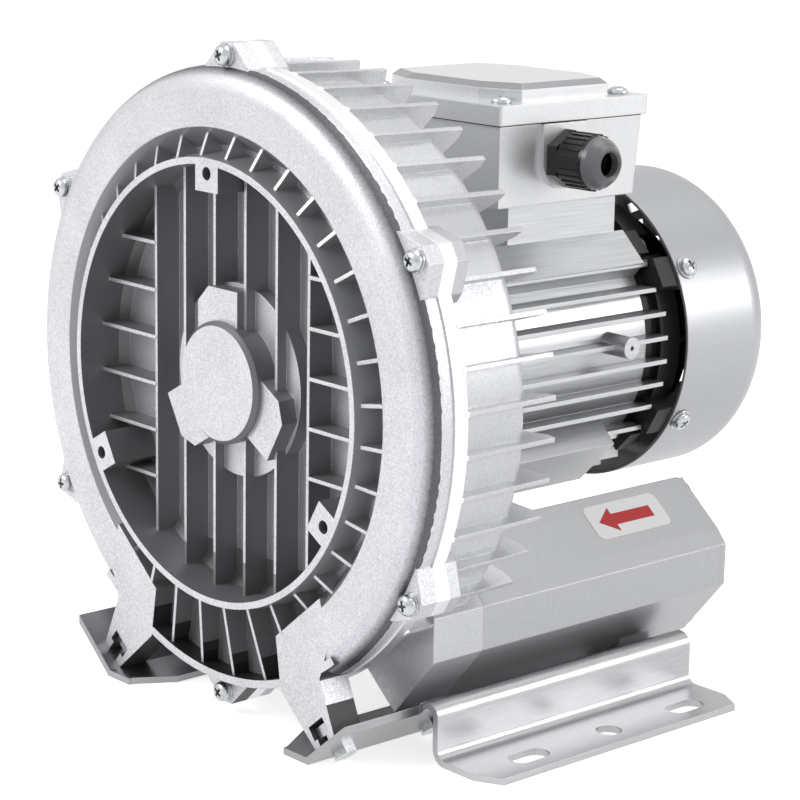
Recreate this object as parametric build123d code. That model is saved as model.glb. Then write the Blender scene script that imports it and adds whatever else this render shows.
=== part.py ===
"""Side channel blower, single stage, with a finned foot-mounted motor.

Millimetres, +Z up, +Y along the shaft from the front cover to the fan cowl, +X to the inlet side.
The origin is on the floor, in the middle of the foot-hole pattern, under the shaft.
"""
import os
from math import asin, atan2, cos, degrees, hypot, pi, radians, sin, sqrt, tan

from build123d import *

# ---- Overall layout -------------------------------------------------------------------------
SHAFT_HEIGHT = 125.5  # shaft axis above the floor
JOINT_Y = -85.5  # plane where the front cover meets the rear housing
RUNNING_GAP = 0.5  # between the impeller and the castings
BEARING_RUN = 0.08  # between the balls and their races
SHAFT_RUN = 0.06  # between the shaft and the lip of its seal
SEAT_GAP = 0.15  # between a hole and the screw through it

# ---- Channel and castings -------------------------------------------------------------------
CHANNEL_RADIUS = 98.5  # centre line of the side channel
CHANNEL_BORE = 9.5  # radius of its half-round groove
CHANNEL_WALL = 3.0
CHANNEL_END = 34.0  # half angle of the closed sector between inlet and outlet, below the shaft
FLANGE_RADIUS = 114.0
FLANGE_THICK = 5.7
COVER_FLANGE = 4.2
DRUM_RADIUS = 110.0
DRUM_EDGE = 5.0  # rounding of the drum's rear edge
BOWL_RADIUS = 79.0
BOWL_WALL = 2.5
BOWL_RIM = 16.0  # rim of the bowl, in front of the joint
BOWL_DEPTH = 4.5  # floor of the bowl, behind the joint
FLOOR_THICK = 3.0
TROUGH_DEPTH = 4.0  # floor of the trough round the bowl, in front of the joint
TROUGH_EDGE = 92.0  # where the trough's slope leaves the flat face of the channel
TROUGH_FOOT = 85.0  # where the slope meets the trough's floor
TROUGH_FIN_RISE = 10.0  # height of a gusset at the bowl's wall
HUB_RADIUS = 22.4
HUB_FRONT = 11.5  # face of the bearing hub, in front of the joint
HUB_BOSS_RADIUS = 35.5
HUB_BOSS_DEPTH = 1.5  # its face, in front of the joint
HUB_TAB_REACH = 34.0
HUB_TAB_LOW = 8.1
HUB_TAB_HIGH = 14.8
HUB_TAB_BEVEL = 6.0
HUB_TAB_FRONT = 8.5
RIB_THICK = 1.4
GRILLE_PITCH = 17.8
GRILLE_COUNT = 6
GRILLE_FRONT = 5.6  # front edge of the bowl fins, in front of the joint
SIDE_RIB_PITCH = 17.8
SIDE_RIB_COUNT = 6
SIDE_RIB_FRONT = 5.8
TROUGH_FIN_PITCH = 10.0
LOWER_RING_RADIUS = 111.0
LOWER_RING_WALL = 3.0

# ---- Cover screws and ears --------------------------------------------------------------------
EAR_CIRCLE = 117.0
EAR_ANGLES = (90, 30, -30, -90, -150, 150)
EAR_TOP = 4.4  # how far an ear stands past its screw
EAR_TOP_WIDTH = 6.8
EAR_BASE_WIDTH = 28.0
COVER_EAR = 7.0
HOUSING_EAR = 11.0
M5 = 2.5
M5_HEAD = 4.6
M5_HEAD_HIGH = 3.0
COVER_HEAD = 3.8
COVER_HEAD_HIGH = 3.2
WASHER_RADIUS = 4.2
WASHER_THICK = 0.8

# ---- Inside lugs of the bowl ------------------------------------------------------------------
LUG_CIRCLE = 76.0
LUG_SIZE = 13.0
LUG_HOLE = 2.4
LUG_ANGLES = (90, 210, 330)

# ---- Cooling fins of the rear housing -----------------------------------------------------------
FIN_FIRST = -41.25
FIN_PITCH = 7.5
FIN_COUNT = 36
FIN_THICK = 1.8
FIN_RADIUS = 114.4
FIN_TIP_RADIUS = 113.4
FIN_TIP_BACK = 9.5  # tip behind the drum's rear face
FIN_ROOT_RADIUS = 84.0

# ---- Rear housing walls -------------------------------------------------------------------------
HOUSING_WALL = 4.0
SEAL_RADIUS = 17.0
SEAL_LENGTH = 7.0
SEAL_BOSS_WALL = 4.5

# ---- Impeller -----------------------------------------------------------------------------------
IMPELLER_WIDTH = 24.5
IMPELLER_RIM_WALL = 3.6
BLADE_COUNT = 34
BLADE_THICK = 1.6
IMPELLER_WEB = 2.4
DISC_THICK = 4.0
IMPELLER_HUB_RADIUS = 17.0
KEY_WIDTH = 5.0
KEY_HEIGHT = 5.0
KEY_LENGTH = 12.0

# ---- Shaft and bearings -------------------------------------------------------------------------
BEARING_BORE = 7.5
BEARING_OUTER = 17.5
BEARING_WIDTH = 11.0
BALL_RADIUS = 3.0
BALL_CIRCLE = 12.5
BALL_COUNT = 8
CAGE_WALL = 1.4
IMPELLER_SEAT = 8.0
SEAL_SEAT = 10.0
CORE_SEAT = 11.0
FAN_SEAT = 7.0
FAN_SEAT_LENGTH = 32.0
CLIP_THICK = 1.2
CLIP_DEPTH = 0.7
CLIP_REACH = 3.0

# ---- Motor --------------------------------------------------------------------------------------
STATOR_OUTER = 46.9
STATOR_BORE = 26.4
AIR_GAP = 0.4
CORE_LENGTH = 66.0
CORE_START = 15.0  # start of the stator stack behind the frame's front end
WINDING_HANG = 11.0
WINDING_INNER = 30.0
WINDING_OUTER = 43.5
END_RING_LENGTH = 5.0
BARREL_WALL = 3.6
BARREL_LENGTH = 120.5
MOTOR_FIN_RADIUS = 57.5
MOTOR_FIN_PITCH = 9.25
MOTOR_FIN_THICK = 1.7
MOTOR_FIN_OVERHANG = 5.0
PAD_LENGTH = 102.5
PAD_RADIUS = 63.5
PAD_WIDTH = 25.0
TIE_CIRCLE = 51.5
SHOULDER = ((24.0, 40.0), (36.0, 44.5), (47.9, 33.2), (40.0, 24.0))  # rounded top edges of the frame
NECK_HALF = 36.0
NECK_START = 58.5  # front of the neck behind the frame's front end
NECK_LENGTH = 57.0
NECK_TOP = 59.0  # above the shaft
BOX_SCREW_X = 24.0
FRAME_BOSS_Y = 99.5
FRAME_BOSS_X = 63.0
FRAME_BOSS = 4.2
FRAME_BOSS_HOLE = 0.9

# ---- Rear end shield, fan and cowl ----------------------------------------------------------------
SHIELD_RIM = 7.0
SHIELD_WALL = 4.0
SHIELD_LUG_ANGLES = (29.5, 150.5, 209.5, 330.5)
SHIELD_LUG_WIDTH = 12.0
SHIELD_LUG_WALL = 8.0
SHIELD_COLLAR = 53.5  # outside of the collar that closes the gap in front of the cowl
SHIELD_COLLAR_WALL = 3.7
SHIELD_COLLAR_REACH = 4.0  # how far it runs into the cowl
FAN_RADIUS = 47.0
FAN_BLADES = 9
FAN_WIDTH = 16.0
FAN_HUB = 12.5
COWL_RADIUS = 61.5
COWL_WALL = 1.2
COWL_LENGTH = 52.0
COWL_START = 132.7  # front rim behind the frame's front end
COWL_EDGE = 14.0
COWL_SCREW_BACK = 5.6  # screw behind the front rim
GRILLE_RINGS = (13.0, 21.0, 29.0, 37.0, 45.0)
GRILLE_SLOT = 4.0
M4 = 2.0
M4_HEAD = 3.9
M4_HEAD_HIGH = 2.6

# ---- Terminal box ---------------------------------------------------------------------------------
BOX_START = 49.0  # front of the box top behind the frame's front end
BOX_LENGTH = 74.6
BOX_HALF = 40.3
BOX_DRAFT = 1.5
BOX_HEIGHT = 30.4
BOX_WALL = 3.0
GASKET_THICK = 0.6
LID_OVERHANG = 1.9
LID_THICK = 7.3
LID_RAISED = 6.7
LID_RAISED_BEVEL = 2.2
LID_RAISED_INSET_X = 6.0
LID_RAISED_INSET_Y = 9.5
LID_RAISED_CORNER = 16.0
LID_SCREW_INSET = 6.5
BOARD_SIZE = (36.0, 26.0, 7.0)
STUD_PITCH = 11.0
STUD_RADIUS = 2.0
STUD_HEIGHT = 7.0

# ---- Cable gland ------------------------------------------------------------------------------------
GLAND_Y = 81.5  # behind the frame's front end
GLAND_DROP = 13.4  # below the top of the box
GLAND_PAD = 1.5
GLAND_PAD_RADIUS = 11.5
GLAND_THREAD = 8.0
GLAND_HEX = 19.0
GLAND_HEX_THICK = 5.0
GLAND_CAP_RADIUS = 10.2
GLAND_CAP_LENGTH = 18.5
GLAND_RIBS = 24
CABLE_RADIUS = 4.6
LOCKNUT_THICK = 4.0

# ---- Silencers ----------------------------------------------------------------------------------------
SILENCER_START = 41.0  # split to the housing's duct, behind the joint
SILENCER_LENGTH = 129.0
SILENCER_WALL = 3.0
SILENCER_OUTLINE = ((62.1, 75.1), (82.0, 58.4), (86.5, 53.0), (86.5, 36.8), (66.6, 13.1), (33.4, 40.9))
SILENCER_PAD = ((72.0, 19.5), (60.0, 22.0))  # where the foot pad runs into the tube
SILENCER_PAD_LENGTH = 20.0
DUCT_START = 17.5  # front of the housing's duct behind the joint
FOAM_THICK = 6.0
FOAM_GAP = 0.3
PLATE_THICK = 3.0
PORT_CENTRE = (64.35, 44.1)
PORT_THREAD = 15.1
PORT_RIM = 2.3
PORT_DEPTH = 12.0
PLATE_SCREWS = ((62.3, 68.6), (66.4, 19.6), (39.9, 41.4))

# ---- Feet ---------------------------------------------------------------------------------------------
SHEET = 2.5
INCLINE = 40.0  # angle of the brackets' inclined strip
INCLINE_START = 60.5  # where its lower side leaves the floor
RIDGE_BEND = 5.0
FOOT_BEND = 6.0
FOOT_WALL_X = 89.5
FOOT_REACH = 118.0
FOOT_INNER_REACH = 38.0
FOOT_FRONT = -103.0
FOOT_STRIP_REACH = 80.0
FOOT_STEP = -68.0  # where the bracket widens to its outer flange
FOOT_REAR = 62.5
FOOT_CORNER = 6.0
FOOT_HOLE_X = 107.5
FOOT_HOLE_RADIUS = 4.75
FOOT_SLOT_WIDTH = 9.0
FOOT_SLOT_LENGTH = 17.0
FOOT_SLOT_SPACING = 81.0
LEG_SLOT_X = 64.6  # where the T-slot's axis meets the incline
LEG_HALF = 6.2
TEE_MOUTH = 5.6
TEE_HEAD = 9.4
TEE_LIP = 4.2
TEE_DEPTH = 5.4
TEE_NUT = 8.6
TEE_NUT_THICK = 4.0
REAR_LEG_START = 28.5
BOLT_HEX = 8.0
BOLT_HEAD_HIGH = 2.5
BOLT_STATIONS = (-91.5, -50.5, 52.0)

# ---- Stations worked out from the sizes above --------------------------------------------------------
COVER_FRONT = JOINT_Y - CHANNEL_BORE - CHANNEL_WALL
FLOOR_BACK = JOINT_Y + BOWL_DEPTH + FLOOR_THICK
IMPELLER_FRONT = JOINT_Y + RUNNING_GAP
IMPELLER_BACK = IMPELLER_FRONT + IMPELLER_WIDTH
HOUSING_LAND = IMPELLER_BACK + RUNNING_GAP
DRUM_BACK = HOUSING_LAND + CHANNEL_BORE + CHANNEL_WALL - 0.3
WALL_BACK = HOUSING_LAND + HOUSING_WALL
RIM_OUTER = CHANNEL_RADIUS - CHANNEL_BORE
RIM_INNER = RIM_OUTER - IMPELLER_RIM_WALL
TIP_RADIUS = CHANNEL_RADIUS + CHANNEL_BORE
FRONT_BEARING_Y = FLOOR_BACK - BEARING_WIDTH - 2.0
SEAL_Y = WALL_BACK - 1.5
MOTOR_Y = DRUM_BACK + 0.6
BARREL_RADIUS = STATOR_OUTER + BARREL_WALL
BARREL_BACK = MOTOR_Y + BARREL_LENGTH
STACK_Y = MOTOR_Y + CORE_START
SHIELD_BACK = BARREL_BACK + SHIELD_RIM
REAR_BEARING_Y = BARREL_BACK - 8.0
COWL_Y = MOTOR_Y + COWL_START
COWL_BACK = COWL_Y + COWL_LENGTH
FAN_Y = SHIELD_BACK + 6.0
IMPELLER_HUB_FRONT = FLOOR_BACK + 2.5
SILENCER_Y = JOINT_Y + SILENCER_START
SILENCER_BACK = SILENCER_Y + SILENCER_LENGTH
BOX_Y = MOTOR_Y + BOX_START
BOX_TOP = SHAFT_HEIGHT + NECK_TOP + BOX_HEIGHT
LID_TOP = BOX_TOP + GASKET_THICK + LID_THICK
GLAND_CENTRE_Y = MOTOR_Y + GLAND_Y
GLAND_Z = BOX_TOP - GLAND_DROP
INCLINE_RISE = tan(radians(INCLINE))
SHEET_UP = SHEET / cos(radians(INCLINE))


def incline_top(x):
    """Height of the incline's upper side at x."""
    return (x - INCLINE_START) * INCLINE_RISE + SHEET_UP


# ---- Shared shapes --------------------------------------------------------------------------------------
def turned(outline):
    """A body turned about the shaft from (radius, y) points."""
    return Pos(0, 0, SHAFT_HEIGHT) * revolve(make_face(Polyline(*outline, close=True)), axis=Axis.Y)


def turned_ring(inner, outer, start, end):
    """A plain ring about the shaft."""
    return turned([(inner, start), (outer, start), (outer, end), (inner, end)])


def turned_rod(radius, start, end):
    """A plain disc or rod on the shaft."""
    return turned([(0, start), (radius, start), (radius, end), (0, end)])


def about_shaft(angle):
    """The place turned about the shaft, where 0 is +X and 90 is straight up."""
    return Pos(0, 0, SHAFT_HEIGHT) * Rot(0, -angle, 0)


def prism(points, start, end):
    """A bar along Y with the given (x, z) outline."""
    wire = [Vector(x, start, z) for x, z in points]
    face = make_face(Polyline(*wire, close=True))
    return extrude(face, amount=end - start, dir=(0, 1, 0))


def block(low, high):
    """A rectangular body between two corners."""
    size = [high[i] - low[i] for i in range(3)]
    middle = [(high[i] + low[i]) / 2 for i in range(3)]
    return Pos(*middle) * Box(*size)


def rod(start, direction, radius, length):
    """A round bar from a point along a direction."""
    return Plane(origin=start, z_dir=direction) * Cylinder(
        radius, length, align=(Align.CENTER, Align.CENTER, Align.MIN)
    )


def pan_screw(start, direction, radius, shank, head, head_high):
    """A pan-head screw: its shank runs along direction from under the head at start."""
    back = tuple(-value for value in direction)
    cap = rod(start, back, head, head_high)
    cap = fillet(cap.edges().sort_by(lambda edge: edge.center().dot(Vector(*back)))[-1], head_high * 0.6)
    return cap + rod(start, direction, radius, shank)


def on_axis(angle, radius, y):
    """The point at an angle and a radius about the shaft."""
    return (radius * cos(radians(angle)), y, SHAFT_HEIGHT + radius * sin(radians(angle)))


def mirrored(shape):
    """The same body on the other side of the shaft."""
    return mirror(shape, about=Plane.YZ)


# ---- Front cover ----------------------------------------------------------------------------------------
def ear(start, end):
    """The five-sided lug that a cover screw goes through, on +X."""
    half_base = EAR_BASE_WIDTH / 2
    half_top = EAR_TOP_WIDTH / 2
    root = TIP_RADIUS + 0.5
    top = EAR_CIRCLE + EAR_TOP
    outline = [(root, half_base), (FLANGE_RADIUS - 1.0, half_base - 2.0), (top, half_top)]
    outline += [(x, -z) for x, z in reversed(outline)]
    return prism(outline, start, end)


def ears(start, end):
    """All six lugs round a flange."""
    return [about_shaft(angle) * ear(start, end) for angle in EAR_ANGLES]


def leg_outline():
    """One leg from the channel down to the incline, as (x, z) points."""
    along = LEG_HALF * cos(radians(INCLINE))
    inner = LEG_SLOT_X - along
    outer = LEG_SLOT_X + along
    return [
        (39.0, 20.7),
        (inner, incline_top(inner)),
        (outer, incline_top(outer)),
        (60.5, 30.6),
        (65.5, 45.3),
        (60.0, 60.0),
        (36.0, 40.0),
    ]


def slot_frame(y):
    """Where a T-slot's axis meets the incline: +Z points up into the leg and +Y runs along the slot."""
    angle = radians(INCLINE)
    return Plane(
        origin=(LEG_SLOT_X, y, incline_top(LEG_SLOT_X)),
        x_dir=(cos(angle), 0, sin(angle)),
        z_dir=(-sin(angle), 0, cos(angle)),
    )


def tee_slot(start, end):
    """The T-slot that a foot bolt hangs in, cut along Y."""
    length = end - start + 2.0
    centre = slot_frame((start + end) / 2)
    mouth = centre * Pos(0, 0, TEE_LIP / 2 - 0.5) * Box(TEE_MOUTH, length, TEE_LIP + 1.0)
    head = centre * Pos(0, 0, TEE_LIP + TEE_DEPTH / 2) * Box(TEE_HEAD, length, TEE_DEPTH)
    return mouth + head


def trough_slope(radius):
    """Station of the trough's sloping side at a radius."""
    floor = JOINT_Y - TROUGH_DEPTH
    return COVER_FRONT + (TROUGH_EDGE - radius) * (floor - COVER_FRONT) / (TROUGH_EDGE - TROUGH_FOOT)


def channel_shell():
    """The outside of the cover's half channel with its flat face and round shoulder."""
    inner = TROUGH_EDGE
    crease = CHANNEL_RADIUS + 6.0
    shoulder = FLANGE_RADIUS - crease - 0.7
    front = COVER_FRONT
    step = JOINT_Y - COVER_FLANGE
    edge = Line((inner, front), (crease, front))
    curve = EllipticalCenterArc((crease, step), shoulder, step - front, start_angle=270, arc_size=90)
    rest = Polyline(
        (crease + shoulder, step),
        (crease + shoulder, JOINT_Y),
        (TROUGH_FOOT, JOINT_Y),
        (TROUGH_FOOT, JOINT_Y - TROUGH_DEPTH),
        (inner, front),
    )
    return make_face(Wire([edge, curve] + list(rest.edges())))


def open_sector(reach, start, end, half_angle):
    """A wedge below the shaft, used to leave the channel out there."""
    side = reach * tan(radians(half_angle))
    wedge = [(0, SHAFT_HEIGHT), (side, SHAFT_HEIGHT - reach), (-side, SHAFT_HEIGHT - reach)]
    return prism(wedge, start, end)


def cover_bowl():
    """The turned middle of the cover: rim, bowl, hub and the floor of the trough."""
    rim = JOINT_Y - BOWL_RIM
    floor = JOINT_Y + BOWL_DEPTH
    outline = [
        (0, JOINT_Y - HUB_FRONT),
        (HUB_RADIUS - 1.5, JOINT_Y - HUB_FRONT),
        (HUB_RADIUS, JOINT_Y - HUB_FRONT + 1.5),
        (HUB_RADIUS, JOINT_Y - HUB_BOSS_DEPTH),
        (HUB_BOSS_RADIUS, JOINT_Y - HUB_BOSS_DEPTH),
        (HUB_BOSS_RADIUS, floor),
        (BOWL_RADIUS - 3.0, floor),
        (BOWL_RADIUS, floor - 3.0),
        (BOWL_RADIUS, rim),
        (BOWL_RADIUS + BOWL_WALL, rim),
        (BOWL_RADIUS + BOWL_WALL + 1.5, JOINT_Y - TROUGH_DEPTH),
        (TROUGH_FOOT, JOINT_Y - TROUGH_DEPTH),
        (RIM_OUTER, trough_slope(RIM_OUTER)),
        (RIM_OUTER, JOINT_Y),
        (RIM_INNER - RUNNING_GAP, JOINT_Y),
        (RIM_INNER - RUNNING_GAP - 1.0, FLOOR_BACK),
        (BEARING_OUTER, FLOOR_BACK),
        (BEARING_OUTER, FRONT_BEARING_Y),
        (BEARING_OUTER - 3.0, FRONT_BEARING_Y),
        (BEARING_OUTER - 3.0, FRONT_BEARING_Y - 2.0),
        (0, FRONT_BEARING_Y - 2.0),
    ]
    return turned(outline)


def bowl_fins():
    """The upright fins across the bowl and the short ribs at its sides."""
    pieces = []
    floor = JOINT_Y + BOWL_DEPTH + 1.0
    front = JOINT_Y - GRILLE_FRONT
    first = -(GRILLE_COUNT - 1) / 2 * GRILLE_PITCH
    for index in range(GRILLE_COUNT):
        x = first + index * GRILLE_PITCH
        half = sqrt((BOWL_RADIUS + 1.0) ** 2 - x**2)
        low = (x - RIB_THICK / 2, front, SHAFT_HEIGHT - half)
        high = (x + RIB_THICK / 2, floor, SHAFT_HEIGHT + half)
        pieces.append(block(low, high))
    start = -(SIDE_RIB_COUNT - 1) / 2 * SIDE_RIB_PITCH
    for index in range(SIDE_RIB_COUNT):
        height = start + index * SIDE_RIB_PITCH
        reach = sqrt((BOWL_RADIUS + 1.0) ** 2 - height**2)
        if reach - abs(first) < 6.0:
            continue
        low = (abs(first), JOINT_Y - SIDE_RIB_FRONT, SHAFT_HEIGHT + height - RIB_THICK / 2)
        high = (reach, floor, SHAFT_HEIGHT + height + RIB_THICK / 2)
        side = block(low, high)
        pieces += [side, mirrored(side)]
    return pieces


def trough_fins():
    """The small gussets of the trough, and the longer ones of the open sector below."""
    pieces = []
    inner = BOWL_RADIUS + 1.0
    count = round(360 / TROUGH_FIN_PITCH)
    for index in range(count):
        angle = -90 + (index + 0.5) * TROUGH_FIN_PITCH
        below = min(abs(angle + 90), abs(angle - 270))
        sunk = JOINT_Y - TROUGH_DEPTH + 1.0
        if below < CHANNEL_END:
            reach = LOWER_RING_RADIUS - 1.0
            corners = [(inner, sunk), (inner, JOINT_Y - BOWL_RIM + 2.0), (reach, COVER_FRONT + 2.0), (reach, sunk)]
        else:
            high = RIM_OUTER + 0.6
            rise = sunk - 1.0 - TROUGH_FIN_RISE
            corners = [(inner, sunk), (inner, rise), (high, trough_slope(high)), (high - 1.0, sunk - 2.5), (TROUGH_FOOT, sunk)]
        outline = [Vector(radius, y, 0) for radius, y in corners]
        fin = extrude(make_face(Polyline(*outline, close=True)), amount=RIB_THICK / 2, both=True)
        pieces.append(about_shaft(angle) * fin)
    return pieces


def channel_end(side):
    """The rounded closed end of the channel beside a leg."""
    angle = -90 + side * CHANNEL_END
    ball = Pos(*on_axis(angle, CHANNEL_RADIUS, JOINT_Y)) * Sphere(CHANNEL_BORE + CHANNEL_WALL)
    return ball & block((-200, COVER_FRONT, 0), (200, JOINT_Y, SHAFT_HEIGHT))


def lower_ring():
    """The thin ring and floor that close the sector between the legs."""
    floor = turned_ring(
        RIM_OUTER - 1.0, LOWER_RING_RADIUS, JOINT_Y - TROUGH_DEPTH, JOINT_Y
    )
    ring = turned_ring(
        LOWER_RING_RADIUS - LOWER_RING_WALL, LOWER_RING_RADIUS, COVER_FRONT, JOINT_Y
    )
    return (floor + ring) & open_sector(140, COVER_FRONT - 1, JOINT_Y + 1, CHANNEL_END + 4.0)


def hub_tabs():
    """The three tabs round the bearing hub."""
    pieces = []
    for angle in LUG_ANGLES:
        outline = [
            (0, -HUB_TAB_LOW),
            (HUB_TAB_REACH, -HUB_TAB_LOW),
            (HUB_TAB_REACH, HUB_TAB_HIGH - HUB_TAB_BEVEL),
            (HUB_TAB_REACH - HUB_TAB_BEVEL, HUB_TAB_HIGH),
            (0, HUB_TAB_HIGH),
        ]
        tab = prism(outline, JOINT_Y - HUB_TAB_FRONT, JOINT_Y + BOWL_DEPTH)
        pieces.append(about_shaft(angle) * tab)
    return pieces


def front_cover():
    """The die-cast front cover with its half channel, cooling bowl, bearing hub and legs."""
    ring = Pos(0, 0, SHAFT_HEIGHT) * revolve(channel_shell(), axis=Axis.Y)
    ring -= open_sector(160, COVER_FRONT - 5, JOINT_Y + 5, CHANNEL_END)
    groove = Pos(0, JOINT_Y, SHAFT_HEIGHT) * Rot(90, 0, 0) * Torus(CHANNEL_RADIUS, CHANNEL_BORE)
    groove -= open_sector(160, JOINT_Y - 20, JOINT_Y + 20, CHANNEL_END)
    legs = prism(leg_outline(), COVER_FRONT, JOINT_Y)
    body = ring + channel_end(1) + channel_end(-1) + lower_ring()
    body += legs + mirrored(legs)
    body += ears(JOINT_Y - COVER_EAR, JOINT_Y)
    body -= groove
    reach = RIM_OUTER
    body -= turned_rod(reach - 0.5, COVER_FRONT - 5, JOINT_Y + 5)
    body += cover_bowl()
    slope = turned_ring(TROUGH_FOOT, RIM_OUTER, COVER_FRONT - 1.0, JOINT_Y - TROUGH_DEPTH)
    body -= slope & open_sector(160, COVER_FRONT - 5, JOINT_Y + 5, CHANNEL_END)
    inside = turned_rod(BOWL_RADIUS + 1.5, JOINT_Y - BOWL_RIM, FLOOR_BACK)
    inside -= turned_rod(HUB_RADIUS - 2.0, JOINT_Y - BOWL_RIM, JOINT_Y + BOWL_DEPTH + 1.0)
    for fin in bowl_fins():
        body += fin & inside
    body += hub_tabs()
    body += trough_fins()
    for angle in LUG_ANGLES:
        half = LUG_SIZE / 2
        low = (LUG_CIRCLE - half, JOINT_Y - BOWL_RIM, -half)
        high = (LUG_CIRCLE + half, JOINT_Y + BOWL_DEPTH, half)
        body += (about_shaft(angle) * block(low, high)) & turned_rod(
            BOWL_RADIUS + BOWL_WALL, JOINT_Y - BOWL_RIM, FLOOR_BACK
        )
        body -= rod(on_axis(angle, LUG_CIRCLE, JOINT_Y - BOWL_RIM), (0, 1, 0), LUG_HOLE, 12.0)
    body -= turned_rod(BEARING_OUTER, FRONT_BEARING_Y, FLOOR_BACK)
    slot = tee_slot(COVER_FRONT, JOINT_Y)
    body -= slot + mirrored(slot)
    for angle in EAR_ANGLES:
        start = on_axis(angle, EAR_CIRCLE, COVER_FRONT - 5)
        body -= rod(start, (0, 1, 0), M5 + SEAT_GAP, 30.0)
        body -= rod(start, (0, 1, 0), WASHER_RADIUS + 0.3, JOINT_Y - COVER_EAR - COVER_FRONT + 5)
    return body


def cover_screws():
    """Six screws, each with its washer, through the cover's ears."""
    pieces = []
    seat = JOINT_Y - COVER_EAR
    for angle in EAR_ANGLES:
        centre = on_axis(angle, EAR_CIRCLE, seat - WASHER_THICK)
        length = WASHER_THICK + COVER_EAR + HOUSING_EAR - 2.0
        screw = pan_screw(centre, (0, 1, 0), M5, length, COVER_HEAD, COVER_HEAD_HIGH)
        washer = rod(centre, (0, 1, 0), WASHER_RADIUS, WASHER_THICK)
        pieces.append(screw + washer)
    return pieces


# ---- Rear housing -----------------------------------------------------------------------------------------
def housing_shell():
    """The turned part of the rear housing: flange, drum, half channel and middle wall."""
    edge_y = DRUM_BACK - DRUM_EDGE
    outer = Polyline(
        (FLANGE_RADIUS, JOINT_Y),
        (FLANGE_RADIUS, JOINT_Y + FLANGE_THICK),
        (DRUM_RADIUS, JOINT_Y + FLANGE_THICK),
        (DRUM_RADIUS, edge_y),
    )
    corner = CenterArc((DRUM_RADIUS - DRUM_EDGE, edge_y), DRUM_EDGE, 0, 90)
    spigot = STATOR_OUTER - 0.1
    rear = Polyline(
        (DRUM_RADIUS - DRUM_EDGE, DRUM_BACK),
        (RIM_OUTER + 2.0, DRUM_BACK),
        (RIM_INNER + 1.0, DRUM_BACK - 6.0),
        (RIM_INNER + 1.0, WALL_BACK),
        (TIE_CIRCLE + 5.5, WALL_BACK),
        (TIE_CIRCLE + 5.5, MOTOR_Y),
        (spigot, MOTOR_Y),
        (spigot, MOTOR_Y + 3.5),
        (spigot - 4.0, MOTOR_Y + 3.5),
        (spigot - 4.0, WALL_BACK),
        (SEAL_RADIUS + SEAL_BOSS_WALL, WALL_BACK),
        (SEAL_RADIUS + SEAL_BOSS_WALL, SEAL_Y + SEAL_LENGTH),
        (SEAL_RADIUS, SEAL_Y + SEAL_LENGTH),
        (SEAL_RADIUS, SEAL_Y),
        (SEAL_SEAT + 2.0, SEAL_Y),
        (SEAL_SEAT + 2.0, HOUSING_LAND),
        (RIM_OUTER, HOUSING_LAND),
    )
    groove = CenterArc((CHANNEL_RADIUS, HOUSING_LAND), CHANNEL_BORE, 0, 180)
    front = Polyline((TIP_RADIUS, HOUSING_LAND), (TIP_RADIUS, JOINT_Y), (FLANGE_RADIUS, JOINT_Y))
    edges = list(outer.edges()) + [corner] + list(rear.edges()) + [groove] + list(front.edges())
    face = make_face(Wire(edges))
    return Pos(0, 0, SHAFT_HEIGHT) * revolve(face, axis=Axis.Y)


def housing_fin():
    """One lengthwise cooling fin, on +X, with its gusset behind the drum."""
    outline = [
        Vector(DRUM_RADIUS - 1.0, JOINT_Y + FLANGE_THICK - 1.0, 0),
        Vector(FIN_RADIUS, JOINT_Y + FLANGE_THICK - 1.0, 0),
        Vector(FIN_TIP_RADIUS, DRUM_BACK + FIN_TIP_BACK, 0),
        Vector(FIN_TIP_RADIUS - 4.0, DRUM_BACK + FIN_TIP_BACK, 0),
        Vector(RIM_OUTER + 3.0, DRUM_BACK - 1.0, 0),
        Vector(DRUM_RADIUS - 6.0, DRUM_BACK - 1.0, 0),
        Vector(DRUM_RADIUS - 1.0, DRUM_BACK - 6.0, 0),
    ]
    return extrude(make_face(Polyline(*outline, close=True)), amount=FIN_THICK / 2, both=True)


def inset_outline(points, inset):
    """The (x, z) corners of a convex outline moved inwards."""
    face = make_face(Polyline(*[Vector(x, z, 0) for x, z in points], close=True))
    middle = face.center()
    corners = offset(face, -inset, kind=Kind.INTERSECTION).vertices()
    turn = sorted(corners, key=lambda corner: atan2(corner.Y - middle.Y, corner.X - middle.X))
    return [(corner.X, corner.Y) for corner in turn]


def silencer_pad():
    """The foot pad's (x, z) outline between the tube and the incline."""
    half = LEG_HALF * cos(radians(INCLINE))
    inner = LEG_SLOT_X - half
    outer = LEG_SLOT_X + half
    return [(outer, incline_top(outer)), *SILENCER_PAD, (inner - 3.0, incline_top(inner) + 12.0), (inner, incline_top(inner))]


def duct_block(start, end):
    """The duct from the channel to a silencer, solid, on +X."""
    return prism(SILENCER_OUTLINE, start, end)


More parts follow.
